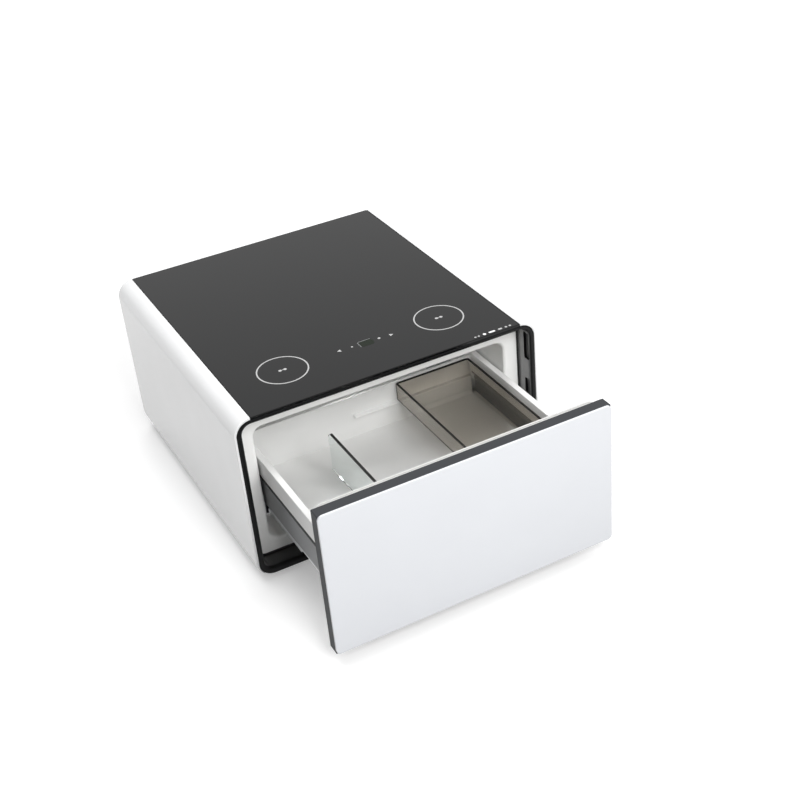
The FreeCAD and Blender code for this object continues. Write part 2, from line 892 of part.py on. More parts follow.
def rear_frame():
    """Frame inside the wrap's back end, which the rear cover is screwed to."""
    half = inner_half - seat_gap
    radius = inner_radius - seat_gap
    limits = (-half, half, rear_frame_front, cover_front, wrap_floor + seat_gap, glass_bottom - seat_gap)
    ring = rounded_block(limits, radius, "Y")
    hole_half = inner_half - rear_frame_face
    hole = rounded_block((-hole_half, hole_half, rear_frame_front - overrun, cover_front + overrun,
                          wrap_floor + rear_frame_face, glass_bottom - rear_frame_face),
                         inner_radius - rear_frame_face, "Y")
    cuts = [rod(screw_shank_radius + running_gap, V(x, rear_frame_front - overrun, z), V(x, back_y, z))
            for x, z in rear_screw_places()]
    return ring.cut([hole] + cuts)


def rear_screw_places():
    """Where the rear cover's screws go."""
    side = inner_half - rear_screw_inset
    low = wrap_floor + rear_screw_inset
    high = glass_bottom - rear_screw_inset
    middle = (low + high) / 2
    top_side = glass_seat_half / 2
    return [(-side, middle), (side, middle), (-top_side, high), (top_side, high), (-top_side, low),
            (top_side, low)]


inlet_x = inlet_share * base_half
inlet_z = base_top + inlet_lift


def vent_slots():
    """Slots of the rear cover's two grilles."""
    slots = []
    low = inlet_z + inlet_height / 2 + vent_rise
    count = int(vent_group_width // vent_pitch)
    for share in vent_centre_shares:
        first = share * base_half - vent_pitch * (count - 1) / 2
        for step in range(count):
            x = first + step * vent_pitch
            half = vent_slot_width / 2
            slot_top = low + vent_slot_height
            slots.append(block(x - half, x + half, cover_front - overrun, back_y, low, slot_top))
    return slots


def rear_cover():
    """Back panel with two grilles and the hole for the power inlet."""
    half = inner_half - seat_gap
    limits = (-half, half, cover_front, cover_back, wrap_floor + seat_gap, glass_bottom - seat_gap)
    cover = rounded_block(limits, inner_radius - seat_gap, "Y")
    x_room = inlet_width / 2 + seat_gap
    z_room = inlet_height / 2 + seat_gap
    cuts = [block(inlet_x - x_room, inlet_x + x_room, cover_front - overrun, back_y, inlet_z - z_room,
                  inlet_z + z_room)]
    cuts += [rod(screw_shank_radius + running_gap, V(x, cover_front - overrun, z), V(x, back_y, z))
             for x, z in rear_screw_places()]
    return cover.cut(cuts + vent_slots())


def rear_cover_screw(x, z):
    """Pan head screw of the rear cover."""
    head = rod(screw_head_radius, V(x, cover_back, z), V(x, cover_back + screw_head_height, z))
    shank = rod(screw_shank_radius, V(x, rear_frame_front + seat_gap, z), V(x, cover_back, z))
    return head.fuse(shank)


def power_inlet():
    """Appliance inlet: a flanged socket with three pins, open to the back."""
    flange_end = cover_back + inlet_flange_thickness
    front = flange_end - inlet_depth
    x_half = inlet_width / 2
    z_half = inlet_height / 2
    body = block(inlet_x - x_half, inlet_x + x_half, front, cover_back, inlet_z - z_half, inlet_z + z_half)
    x_flange = x_half + inlet_flange
    z_flange = z_half + inlet_flange
    flange = block(inlet_x - x_flange, inlet_x + x_flange, cover_back, flange_end, inlet_z - z_flange,
                   inlet_z + z_flange)
    room = block(inlet_x - x_half + inlet_wall, inlet_x + x_half - inlet_wall, front + inlet_wall, back_y,
                 inlet_z - z_half + inlet_wall, inlet_z + z_half - inlet_wall)
    socket = body.fuse(flange).cut(room)
    pin_front = front + inlet_wall
    pins = []
    x_half = inlet_pin_thickness / 2
    z_half = inlet_pin_width / 2
    spots = ((-inlet_pin_spread, -inlet_pin_rise), (0, inlet_pin_rise), (inlet_pin_spread, -inlet_pin_rise))
    for x, z in spots:
        x_pin = inlet_x + x
        z_pin = inlet_z + z
        pins.append(block(x_pin - x_half, x_pin + x_half, pin_front, pin_front + inlet_pin_length,
                          z_pin - z_half, z_pin + z_half))
    return socket.fuse(pins).removeSplitter()


def compressor_corner_places():
    """Where the compressor's plate stands on its grommets."""
    x_side = compressor_plate_length / 2 - grommet_inset
    y_side = compressor_plate_width / 2 - grommet_inset
    return [(compressor_x + x, machine_mid + y) for x in (-x_side, x_side) for y in (-y_side, y_side)]


stub_z = shell_bottom + stub_height_share * compressor_height


def compressor():
    """Hermetic compressor: a crowned shell on a foot plate, with two tube stubs."""
    shell = rod(compressor_radius, V(compressor_x, machine_mid, shell_bottom),
                V(compressor_x, machine_mid, shell_top))
    crown = edges_in_plane(shell, "Z", shell_top)
    shell = shell.makeFillet(compressor_crown, crown)
    x_side = compressor_plate_length / 2
    y_side = compressor_plate_width / 2
    plate_limits = (compressor_x - x_side, compressor_x + x_side, machine_mid - y_side, machine_mid + y_side,
                    plate_bottom, shell_bottom)
    plate = rounded_block(plate_limits, compressor_plate_corner, "Z")
    middle = V(compressor_x, machine_mid, stub_z)
    reach = compressor_radius + stub_length
    outlet = rod(stub_radius, middle, middle + V(reach, 0, 0))
    inlet = rod(stub_radius, middle, middle + V(0, -reach, 0))
    return shell.fuse([plate, outlet, inlet]).removeSplitter()


def compressor_grommets():
    """Rubber mounts under the compressor's plate."""
    return group([rod(grommet_radius, V(x, y, base_top), V(x, y, plate_bottom))
                  for x, y in compressor_corner_places()])


def compressor_terminal_box():
    """Wiring box on the compressor's left side."""
    far = compressor_x - compressor_radius - terminal_box_width
    side = terminal_box_length / 2
    box = block(far, compressor_x, machine_mid - side, machine_mid + side, shell_bottom,
                shell_bottom + terminal_box_height)
    room = rod(compressor_radius + seat_gap, V(compressor_x, machine_mid, plate_bottom),
               V(compressor_x, machine_mid, shell_top))
    return box.cut(room)


def drip_tray():
    """Tray on top of the compressor where melt water dries off."""
    x_side = drip_tray_length / 2
    y_side = drip_tray_width / 2
    top = shell_top + drip_tray_height
    tray = block(compressor_x - x_side, compressor_x + x_side, machine_mid - y_side, machine_mid + y_side,
                 shell_top, top)
    x_room = x_side - drip_tray_wall
    y_room = y_side - drip_tray_wall
    room = block(compressor_x - x_room, compressor_x + x_room, machine_mid - y_room, machine_mid + y_room,
                 shell_top + drip_tray_wall, top + overrun)
    return tray.cut(room)


def fan_point(x):
    """A point on the fan's axis."""
    return V(x, machine_mid, fan_z)


def fan_frame():
    """Square fan housing with spokes that carry the motor."""
    side = fan_size / 2
    front = fan_back + fan_depth
    housing = block(fan_back, front, machine_mid - side, machine_mid + side, fan_z - side, fan_z + side)
    housing = housing.cut(rod(side - fan_wall, fan_point(fan_back - overrun), fan_point(front + overrun)))
    spoke_end = fan_back + fan_spoke_depth
    half = fan_spoke / 2
    reach = side - fan_wall / 2
    upright = block(fan_back, spoke_end, machine_mid - half, machine_mid + half, fan_z - reach, fan_z + reach)
    across = block(fan_back, spoke_end, machine_mid - reach, machine_mid + reach, fan_z - half, fan_z + half)
    seat = rod(fan_motor_radius, fan_point(fan_back), fan_point(spoke_end))
    return housing.fuse([upright, across, seat]).removeSplitter()


motor_start = fan_back + fan_spoke_depth
motor_end = motor_start + fan_motor_length
hub_start = motor_end + fan_hub_gap


def fan_motor():
    """Fan motor with its shaft."""
    body = rod(fan_motor_radius, fan_point(motor_start), fan_point(motor_end))
    shaft = rod(fan_shaft_radius, fan_point(motor_end), fan_point(motor_end + fan_shaft_length))
    return body.fuse(shaft)


def fan_rotor():
    """Fan hub with its pitched blades."""
    hub_end = hub_start + fan_hub_length
    hub = rod(fan_hub_radius, fan_point(hub_start), fan_point(hub_end))
    tip = fan_size / 2 - fan_wall - fan_tip_gap
    middle = (hub_start + hub_end) / 2
    chord = fan_blade_chord / 2
    thick = fan_blade_thickness / 2
    blade = block(-thick, thick, -chord, chord, 0, tip)
    blade.rotate(V(0, 0, 0), V(0, 0, 1), fan_blade_pitch)
    blade.translate(fan_point(middle))
    blades = []
    for step in range(fan_blades):
        turned = blade.copy()
        turned.rotate(fan_point(middle), V(1, 0, 0), 360 * step / fan_blades)
        blades.append(turned)
    bore = rod(fan_shaft_radius + running_gap, fan_point(motor_end), fan_point(hub_end + overrun))
    return hub.fuse(blades).cut(bore).removeSplitter()


def condenser_points():
    """Corners of the condenser's tube, row by row."""
    points = []
    for row in range(condenser_rows):
        z = condenser_bottom + row * condenser_pitch
        ends = (condenser_left, condenser_right) if row % 2 == 0 else (condenser_right, condenser_left)
        points += [V(x, machine_mid, z) for x in ends]
    return points


def condenser_coil():
    """Condenser tube, bent to and fro."""
    return bent_tube(condenser_points(), condenser_tube_radius, condenser_bend_share * condenser_pitch)


def condenser_brackets():
    """Two uprights that hold the condenser's rows."""
    side = condenser_bracket_width / 2
    top = condenser_top + condenser_bracket_head
    plates = []
    for x in (condenser_left + condenser_bracket_inset, condenser_right - condenser_bracket_inset):
        plate = block(x, x + condenser_bracket_wall, machine_mid - side, machine_mid + side, base_top, top)
        holes = []
        for row in range(condenser_rows):
            spot = V(x - overrun, machine_mid, condenser_bottom + row * condenser_pitch)
            far = spot + V(condenser_bracket_wall + 2 * overrun, 0, 0)
            holes.append(rod(condenser_tube_radius + seat_gap, spot, far))
        plates.append(plate.cut(holes))
    return group(plates)


def filter_drier():
    """Drier cartridge on the condenser's lower end."""
    end = V(condenser_left, machine_mid, condenser_bottom)
    body = rod(drier_radius, end - V(drier_length, 0, 0), end)
    return body.makeChamfer(drier_crown, body.Edges[0:1] + body.Edges[2:3])


def discharge_line():
    """Tube from the compressor's outlet over the fan to the condenser's upper end."""
    start = V(compressor_x + compressor_radius + stub_length, machine_mid, stub_z)
    high = max(condenser_top, fan_z + fan_size / 2) + line_rise
    last = condenser_points()[-1]
    rise_x = start.x + 2 * line_bend
    drop_x = last.x - 2 * line_bend
    points = [start, V(rise_x, machine_mid, start.z), V(rise_x, machine_mid, high),
              V(drop_x, machine_mid, high), V(drop_x, machine_mid, last.z), last]
    return bent_tube(points, line_radius, line_bend)


def suction_line():
    """Tube from the bulkhead to the compressor's inlet."""
    end = V(compressor_x, machine_mid - compressor_radius - stub_length, stub_z)
    return rod(line_radius, V(end.x, machine_front, end.z), end)


def control_box():
    """Box with the control electronics, on the bulkhead."""
    middle = control_box_share * base_half
    top = panel_bottom - control_box_drop
    half = control_box_length / 2
    back = machine_front + control_box_depth
    low = top - control_box_height
    box = block(middle - half, middle + half, machine_front, back, low, top)
    room = block(middle - half + control_box_wall, middle + half - control_box_wall,
                 machine_front + control_box_wall, back - control_box_wall, low + control_box_wall,
                 top - control_box_wall)
    return box.cut(room)


os.makedirs("parts", exist_ok=True)

save("wrap_shell", wrap_shell())
save("front_frame", front_frame())
save("top_glass", top_glass())
save("top_panel", top_panel())
save("charging_coils", group([charging_coil(x) for x in charger_places()]))
save("touch_board", touch_board())
for place, (x, y) in foot_places().items():
    save("foot_" + place, foot(x, y))
save("foot_inserts", group([foot_insert(x, y) for x, y in foot_places().values()]))

save("inner_liner", inner_liner())
save("insulation", insulation())
save("evaporator_plate", evaporator_plate())
save("cavity_light", cavity_light())
save("temperature_sensor", temperature_sensor())

save_open("drawer_front_glass", drawer_front_glass())
save_open("door_frame", door_frame())
save_open("door_foam", door_foam())
save_open("door_inner_panel", door_inner_panel())
save_open("door_gasket", door_gasket())
save_open("drawer_floor", drawer_floor())
save_open("drawer_back_wall", drawer_back_wall())
for side, turn in (("right", moved), ("left", mirrored)):
    save_open("drawer_rim_" + side, turn(drawer_rim()))
    save_open("drawer_side_" + side, turn(drawer_side()))
    save("slide_cabinet_" + side, turn(slide_cabinet_member()))
    save_open("slide_middle_" + side, turn(slide_middle_member()), slide_middle_share)
    save_open("slide_drawer_" + side, turn(slide_drawer_member()))
bracket_pieces = [front_bracket()] + [bracket_screw(share) for share in bracket_screw_shares]
save_open("front_brackets", group(bracket_pieces + [mirrored(piece) for piece in bracket_pieces]))
slide_heads = [slide_screw(share) for share in slide_screw_shares]
save("slide_screws", group(slide_heads + [mirrored(head) for head in slide_heads]))
save_open("divider_rails", divider_rails())
save_open("divider_shoes", group([divider_shoe(y) for y in rail_places()]))
save_open("divider_glass", divider_glass())
save_open("divider_trim", divider_trim())
save_open("fruit_tray", fruit_tray())
save_open("fruit_tray_rim", fruit_tray_rim())
save_open("tray_ledges", tray_ledges())

save("bulkhead", bulkhead())
save("base_plate", base_plate())
save("rear_frame", rear_frame())
save("rear_cover", rear_cover())
save("rear_cover_screws", group([rear_cover_screw(x, z) for x, z in rear_screw_places()]))
save("power_inlet", power_inlet())
save("compressor", compressor())
save("compressor_grommets", compressor_grommets())
save("compressor_terminal_box", compressor_terminal_box())
save("drip_tray", drip_tray())
save("fan_frame", fan_frame())
save("fan_motor", fan_motor())
save("fan_rotor", fan_rotor())
save("condenser_coil", condenser_coil())
save("condenser_brackets", condenser_brackets())
save("filter_drier", filter_drier())
save("refrigerant_lines", group([discharge_line(), suction_line()]))
save("control_box", control_box())
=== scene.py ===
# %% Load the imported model
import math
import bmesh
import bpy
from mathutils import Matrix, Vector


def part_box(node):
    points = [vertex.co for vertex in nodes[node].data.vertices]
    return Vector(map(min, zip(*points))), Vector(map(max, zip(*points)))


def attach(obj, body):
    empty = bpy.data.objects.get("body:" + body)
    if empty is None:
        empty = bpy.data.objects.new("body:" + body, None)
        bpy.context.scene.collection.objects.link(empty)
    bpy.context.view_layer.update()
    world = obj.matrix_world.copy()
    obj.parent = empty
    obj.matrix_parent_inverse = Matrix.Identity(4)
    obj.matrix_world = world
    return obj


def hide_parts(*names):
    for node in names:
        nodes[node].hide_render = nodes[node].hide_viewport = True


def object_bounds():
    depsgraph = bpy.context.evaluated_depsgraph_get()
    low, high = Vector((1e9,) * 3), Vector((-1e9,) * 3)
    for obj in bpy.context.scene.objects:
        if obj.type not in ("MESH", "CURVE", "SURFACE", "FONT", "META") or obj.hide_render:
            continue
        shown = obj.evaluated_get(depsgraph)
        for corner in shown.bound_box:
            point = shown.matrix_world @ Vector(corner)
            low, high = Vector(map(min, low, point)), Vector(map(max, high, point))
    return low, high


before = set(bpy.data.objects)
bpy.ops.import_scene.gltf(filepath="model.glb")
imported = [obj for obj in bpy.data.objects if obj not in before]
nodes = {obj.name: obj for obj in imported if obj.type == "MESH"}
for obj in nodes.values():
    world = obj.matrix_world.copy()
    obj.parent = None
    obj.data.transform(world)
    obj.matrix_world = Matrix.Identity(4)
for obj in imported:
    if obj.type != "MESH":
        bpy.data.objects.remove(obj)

# %% [markdown]
# # A refrigerator side table, dressed in Blender
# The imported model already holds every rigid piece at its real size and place, in metres. This lesson gives
# those pieces their finishes, adds the printed marks, the seal and the small hardware that are easier to
# shape here, and lights the whole like a plain studio shot.

cad_low, cad_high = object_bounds()
quarter_turn = math.radians(90)
scene = bpy.context.scene
scene.view_settings.view_transform = "Standard"
print("solids' box", [round(length, 3) for length in (*cad_low, *cad_high)])

# %% [markdown]
# ## The camera
# The photograph looks down on the table from its front left. The view was fitted to straight edges of the
# cabinet, so the place, the turn and the lens are typed as measured. The frame is square, and its middle
# lies near the lens axis, which leaves only a small shift.

# %% Camera at the photograph's angle
camera = bpy.data.objects.new("camera", bpy.data.cameras.new("camera"))
scene.collection.objects.link(camera)
camera.location = (-1.1284, -2.8880, 2.0927)
camera.rotation_euler = (1.00130, 0.07335, -0.50609)
camera.data.sensor_width = 36.0
camera.data.lens = 61.259
camera.data.shift_x = -0.0375
camera.data.shift_y = 0.0025
camera.data.clip_end = 60.0
scene.camera = camera
print("lens", camera.data.lens, "mm")

# %% [markdown]
# ## A pen for shader maths
# A material is a graph of nodes. Sums are easier to read as sums, so this small class wraps one socket and
# turns Python's operators into Math nodes. One method adds any other node, and a few short ones name the
# nodes that come up often.

# %% The pen
def fill(socket, value):
    """Links a pen to a socket, or sets a plain value on it."""
    if isinstance(value, Pen):
        value.tree.links.new(value.socket, socket)
    else:
        socket.default_value = value


class Pen:
    """One value in a material's node tree."""

    def __init__(self, tree, socket=None):
        self.tree = tree
        self.socket = socket

    def node(self, kind, settings=None, sockets=None, out=0):
        """Adds a node: first its settings, then the values or links of its sockets."""
        made = self.tree.nodes.new("ShaderNode" + kind)
        for name, value in (settings or {}).items():
            setattr(made, name, value)
        for name, value in (sockets or {}).items():
            fill(made.inputs[name], value)
        return Pen(self.tree, made.outputs[out])

    def math(self, operation, *values):
        """A Math node on one or two values."""
        return self.node("Math", {"operation": operation}, dict(enumerate(values)))

    def __add__(self, other):
        return self.math("ADD", self, other)

    def __radd__(self, other):
        return self.math("ADD", other, self)

    def __rsub__(self, other):
        return self.math("SUBTRACT", other, self)

    def __mul__(self, other):
        return self.math("MULTIPLY", self, other)

    def __rmul__(self, other):
        return self.math("MULTIPLY", other, self)

    def __abs__(self):
        return self.math("ABSOLUTE", self)

    def part(self, axis):
        """The X, Y or Z of a place or direction."""
        return self.node("SeparateXYZ", sockets={0: self}, out=axis)

    def rise(self, low, high):
        """0 below low, 1 above high, and a smooth step between them."""
        settings = {"interpolation_type": "SMOOTHSTEP"}
        return self.node("MapRange", settings, {"Value": self, "From Min": low, "From Max": high})

    def noise(self, per_metre, detail=2.0, stretch=(1.0, 1.0, 1.0)):
        """Cloudy noise, where self is a place. A stretch under 1 draws it out along that axis."""
        place = self.node("Mapping", {}, {"Vector": self, "Scale": stretch})
        return self.node("TexNoise", {}, {"Vector": place, "Scale": per_metre, "Detail": detail})

    def tint(self, dark, light):
        """Goes from one colour to another as self goes from 0 to 1. A colour may be a pen too."""
        ends = [colour if isinstance(colour, Pen) else (*colour, 1.0) for colour in (dark, light)]
        return self.node("Mix", {"data_type": "RGBA"}, {0: self, 6: ends[0], 7: ends[1]}, 2)

    def bump(self, depth, strength):
        """A Bump node, where self is the height from 0 to 1 and depth is in metres."""
        return self.node("Bump", {}, {"Strength": strength, "Distance": depth, "Height": self})

# %% Helpers for finishes
def new_finish(name):
    """A material with a Principled BSDF, and a pen on its Object coordinates."""
    material = bpy.data.materials.new(name)
    material.use_nodes = True
    tree = material.node_tree
    place = Pen(tree).node("TexCoord", out="Object")
    return material, tree.nodes["Principled BSDF"], place


def feed(bsdf, **sockets):
    """Sets or links the shader's sockets, named with _ for a space."""
    for name, value in sockets.items():
        fill(bsdf.inputs[name.replace("_", " ")], value)


def wear(material, *node_names):
    """Gives CAD nodes a finish."""
    for name in node_names:
        slots = nodes[name].data.materials
        slots.clear()
        slots.append(material)
    print(material.name, "on", *node_names)

# %% [markdown]
# ## White lacquer
# The wrap is sprayed and polished: nearly mirror smooth, with the faint waviness that sprayers call orange
# peel. Waves modelled in the mesh would need millions of faces, so a very shallow bump a few millimetres
# wide gives them, under a clear coat.

# %% Lacquer for the wrap
def lacquer_white():
    """Sprayed white lacquer."""
    material, bsdf, place = new_finish("lacquer_white")
    cloud = place.noise(per_metre=5.3)
    peel = place.noise(per_metre=257.0, detail=1.0)
    feed(bsdf, Base_Color=cloud.tint((0.80, 0.805, 0.81), (0.85, 0.855, 0.86)),
         Roughness=0.16 + 0.10 * cloud, Coat_Weight=0.6, Coat_Roughness=0.06,
         Normal=peel.bump(depth=0.00001, strength=0.5))
    return material


wear(lacquer_white(), "wrap_shell")

# %% [markdown]
# ## Moulded plastics
# Liner, drawer, frames and covers are injection moulded. A mould is spark eroded or polished, and what it
# leaves is a fine grain. One recipe serves them all, which keeps them alike: a colour that drifts a little,
# a grain of chosen width, and a roughness that follows the grain.

# %% Plastic recipe
def moulded(name, colour, rough, grain_width, grain_depth, drift=0.05, coat=0.0, shine=0.5):
    """Moulded plastic. The grain is in metres, and drift is the share that the colour strays by."""
    material, bsdf, place = new_finish(name)
    cloud = place.noise(per_metre=9.0, detail=3.0)
    grain = place.noise(per_metre=1.0 / grain_width)
    dark = [channel * (1.0 - drift) for channel in colour]
    light = [min(1.0, channel * (1.0 + drift)) for channel in colour]
    rough_span = 0.12
    feed(bsdf, Base_Color=cloud.tint(dark, light), Roughness=(rough - rough_span / 2) + rough_span * grain,
         Normal=grain.bump(grain_depth, strength=0.7), Coat_Weight=coat, Coat_Roughness=0.12,
         Specular_IOR_Level=shine)
    return material

# %% White plastics
liner_white = moulded("liner_white", (0.92, 0.92, 0.905), rough=0.50, grain_width=0.0012,
                      grain_depth=0.00002, drift=0.02)
drawer_white = moulded("drawer_white", (0.88, 0.88, 0.87), rough=0.36, grain_width=0.0009,
                       grain_depth=0.00002, drift=0.02, coat=0.2)
floor_white = moulded("floor_white", (0.74, 0.74, 0.73), rough=0.36, grain_width=0.0010,
                      grain_depth=0.00003, drift=0.03)
panel_white = moulded("panel_white", (0.74, 0.74, 0.73), rough=0.38, grain_width=0.0012,
                      grain_depth=0.00003, drift=0.03)
wear(liner_white, "inner_liner", "cavity_light", "temperature_sensor")
wear(drawer_white, "drawer_rim_left", "drawer_rim_right", "tray_ledges")
wear(floor_white, "drawer_floor", "drawer_back_wall", "divider_rails")
wear(panel_white, "door_inner_panel")

# %% Dark plastics
door_grey = moulded("door_grey", (0.045, 0.047, 0.051), rough=0.50, grain_width=0.0009,
                    grain_depth=0.00003, drift=0.10, shine=0.1)
cover_black = moulded("cover_black", (0.022, 0.022, 0.024), rough=0.55, grain_width=0.0011,
                      grain_depth=0.00008, drift=0.15)
machine_black = moulded("machine_black", (0.020, 0.020, 0.022), rough=0.5, grain_width=0.0012,
                        grain_depth=0.00006, drift=0.2)
trim_dark = moulded("trim_dark", (0.013, 0.0125, 0.012), rough=0.4, grain_width=0.0008,
                    grain_depth=0.00001, drift=0.1, shine=0.3)
panel_grey = moulded("panel_grey", (0.05, 0.05, 0.052), rough=0.6, grain_width=0.0015, grain_depth=0.00004)
wear(door_grey, "door_frame")
wear(cover_black, "rear_cover", "power_inlet")
wear(machine_black, "compressor_terminal_box", "drip_tray", "fan_frame", "fan_rotor", "control_box")
wear(trim_dark, "divider_trim", "fruit_tray_rim")
wear(panel_grey, "top_panel")

# %% Board, foam, seal and rubber
board_green = moulded("board_green", (0.01, 0.05, 0.025), rough=0.4, grain_width=0.0010, grain_depth=0.00002)
foam_cream = moulded("foam_cream", (0.72, 0.62, 0.40), rough=0.9, grain_width=0.0022, grain_depth=0.0004,
                     drift=0.12)
seal_grey = moulded("seal_grey", (0.62, 0.62, 0.61), rough=0.55, grain_width=0.0010, grain_depth=0.00003)
# Black rubber for the feet, grommets and glass beads; the same black also paints the shade in the drawer's
# grooves and round the flange.
rubber_black = moulded("rubber_black", (0.018, 0.018, 0.018), rough=0.75, grain_width=0.0013,
                       grain_depth=0.00012, drift=0.25)
feet = ["foot_" + end + "_" + side for end in ("front", "rear") for side in ("left", "right")]
wear(board_green, "touch_board")
wear(foam_cream, "insulation", "door_foam")
wear(seal_grey, "door_gasket")
wear(rubber_black, *feet, "compressor_grommets")

# %% [markdown]
# ## The black frame
# The frame's face is satin black. Inside its throat the moulding is polished, and on the two side walls,
# where the finger grips are, a grey base colour is painted reflection: it stands in for the white liner
# mirrored in the black walls. Two materials would need the faces told apart one by one, so one material
# reads the surface's own direction: the face looks along Y and the side walls look along X. The frame's
# outer sides look along X too, but they lie further out, and stay black.

# %% Frame finish, with a painted reflection on the throat's side walls
# The outer sides start this far in from the frame's widest place.
frame_side = 0.0072
side_wall_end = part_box("front_frame")[1].x - frame_side


def frame_black():
    """Black moulding, polished in its throat, with a painted reflection in grey on the throat's side walls.
    """
    material, bsdf, place = new_finish("frame_black")
    cloud = place.noise(per_metre=9.0, detail=3.0)
    grain = place.noise(per_metre=1250.0)
    normal = place.node("NewGeometry", out="Normal")
    outer = abs(place.part("X")).rise(side_wall_end, side_wall_end + 0.001)
    painted_reflection_walls = abs(normal.part("X")).rise(0.55, 0.98) * (1.0 - outer)
    frontal = abs(normal.part("Y")).rise(0.05, 0.5)
    black = cloud.tint((0.003, 0.003, 0.0034), (0.0048, 0.0048, 0.0052))
    # Painted reflection: this grey stands in for the white liner mirrored in the throat's side walls.
    grey = cloud.tint((0.15, 0.15, 0.152), (0.18, 0.18, 0.182))
    feed(bsdf, Base_Color=painted_reflection_walls.tint(black, grey), Roughness=0.30 + 0.10 * grain,
         Coat_Weight=0.9 - 0.9 * frontal, Coat_Roughness=0.08, Specular_IOR_Level=0.16,
         Normal=grain.bump(depth=0.00001, strength=0.6))
    return material


wear(frame_black(), "front_frame", "rear_frame")

# %% [markdown]
# ## Glass
# The table top is dark float glass: black, very smooth, with the faintest haze of wiping. The drawer front
# is clear glass with white paint behind it. Both could be a clear sheet over a painted one, but the eye
# sees only colour under a hard gloss, so one opaque shader does. The divider and the tray do let light
# through. The divider's low index of refraction keeps its thin cut edges from glinting.

# %% Opaque glasses
def painted_glass(name, dark, light, rough, coat, index):
    """Glass over paint, with a haze of wiping."""
    material, bsdf, place = new_finish(name)
    haze = place.noise(per_metre=7.0, detail=4.0, stretch=(1.0, 0.45, 1.0))
    streak = place.noise(per_metre=40.0, stretch=(0.25, 1.0, 1.0))
    feed(bsdf, Base_Color=haze.tint(dark, light), Roughness=rough + 0.05 * (haze * streak),
         Normal=haze.bump(depth=0.00002, strength=0.2), Coat_Weight=coat, Coat_Roughness=0.02, IOR=index)
    return material


glass_black = painted_glass("glass_black", (0.0030, 0.0032, 0.0034), (0.0044, 0.0047, 0.0050),
                            rough=0.03, coat=0.0, index=1.34)
glass_white = painted_glass("glass_white", (0.70, 0.715, 0.745), (0.73, 0.745, 0.775),
                            rough=0.12, coat=0.3, index=1.52)
wear(glass_black, "top_glass")
wear(glass_white, "drawer_front_glass")

# %% Clear glasses
def clear_sheet(name, dark, light, rough, index):
    """A sheet that lets light through, with a faint cloud in it."""
    material, bsdf, place = new_finish(name)
    cloud = place.noise(per_metre=30.0, detail=3.0)
    feed(bsdf, Base_Color=cloud.tint(dark, light), Roughness=rough + 0.03 * cloud,
         Transmission_Weight=1.0, IOR=index)
    return material


glass_clear = clear_sheet("glass_clear", (0.86, 0.90, 0.89), (0.90, 0.94, 0.93), rough=0.01, index=1.2)
tray_smoke = clear_sheet("tray_smoke", (0.74, 0.71, 0.66), (0.79, 0.76, 0.71), rough=0.05, index=1.45)
wear(glass_clear, "divider_glass")
wear(tray_smoke, "fruit_tray")

# %% [markdown]
# ## Metals
# The slides and brackets are zinc plated strip, drawn through rolls, so fine lines run along them. The
# drawer's sides are grey painted steel. Behind the cover there is copper tube and black enamelled steel.
# Noise stretched along one axis draws such lines with no image, and its bump catches the light across them.

# %% Metal recipe
def metal(name, dark, light, rough, stretch, metallic=1.0):
    """Metal with fine lines, which run along the axis that has the smallest stretch."""
    material, bsdf, place = new_finish(name)
    lines = place.noise(per_metre=900.0, detail=3.0, stretch=stretch)
    cloud = place.noise(per_metre=14.0, detail=3.0)
    feed(bsdf, Base_Color=(0.5 * lines + 0.5 * cloud).tint(dark, light),
         Roughness=(rough - 0.08) + 0.2 * lines, Metallic=metallic,
         Normal=lines.bump(depth=0.00002, strength=0.5))
    return material

# %% Metals outside and in the drawer
zinc_strip = metal("zinc_strip", (0.50, 0.51, 0.52), (0.66, 0.67, 0.68), rough=0.34,
                   stretch=(1.0, 0.02, 1.0))
zinc_sheet = metal("zinc_sheet", (0.42, 0.43, 0.45), (0.62, 0.63, 0.65), rough=0.42,
                   stretch=(0.3, 0.3, 0.3))
drawer_grey = metal("drawer_grey", (0.165, 0.169, 0.173), (0.20, 0.204, 0.208), rough=0.40,
                    stretch=(1.0, 0.03, 1.0), metallic=0.25)
members = ("cabinet", "middle", "drawer")
slides = ["slide_" + member + "_" + side for member in members for side in ("left", "right")]
wear(zinc_strip, *slides, "slide_screws", "front_brackets", "foot_inserts", "rear_cover_screws", "fan_motor")
wear(zinc_sheet, "base_plate", "bulkhead", "condenser_brackets")
wear(drawer_grey, "drawer_side_left", "drawer_side_right", "divider_shoes")

# %% Metals of the cooling circuit
plate_silver = metal("cold_plate", (0.70, 0.71, 0.72), (0.80, 0.81, 0.82), rough=0.36,
                     stretch=(0.05, 1.0, 1.0))
copper_tube = metal("copper_tube", (0.62, 0.30, 0.17), (0.78, 0.42, 0.26), rough=0.3,
                    stretch=(0.1, 0.1, 1.0))
black_enamel = metal("black_enamel", (0.012, 0.012, 0.013), (0.022, 0.022, 0.024), rough=0.3,
                     stretch=(1.0, 1.0, 1.0), metallic=0.0)
wear(plate_silver, "evaporator_plate")
wear(copper_tube, "refrigerant_lines", "filter_drier", "charging_coils")
wear(black_enamel, "compressor", "condenser_coil")

# %% [markdown]
# ## Pieces made here
# A mesh could be written out point by point. Here a new piece starts from one of Blender's primitives and
# is shaped by the same operators that a hand would use, so each step can be tried in the window too.
# Operators act on all that is selected, so everything is deselected first. Each finished piece has its place
# applied to its mesh and rides on a CAD body.

# %% Helpers that select
# A middle that is this near to a plane lies on it.
near = 0.00001


def begin():
    """Back to object mode, with nothing selected."""
    if bpy.context.object and bpy.context.object.mode != "OBJECT":
        bpy.ops.object.mode_set(mode="OBJECT")
    bpy.ops.object.select_all(action="DESELECT")


def take(*pieces):
    """Selects pieces, with the first of them as the active one."""
    begin()
    for piece in pieces:
        piece.select_set(True)
    bpy.context.view_layer.objects.active = pieces[0]


def edit():
    """Edit mode, with the whole mesh selected."""
    bpy.ops.object.mode_set(mode="EDIT")
    bpy.ops.mesh.select_all(action="SELECT")


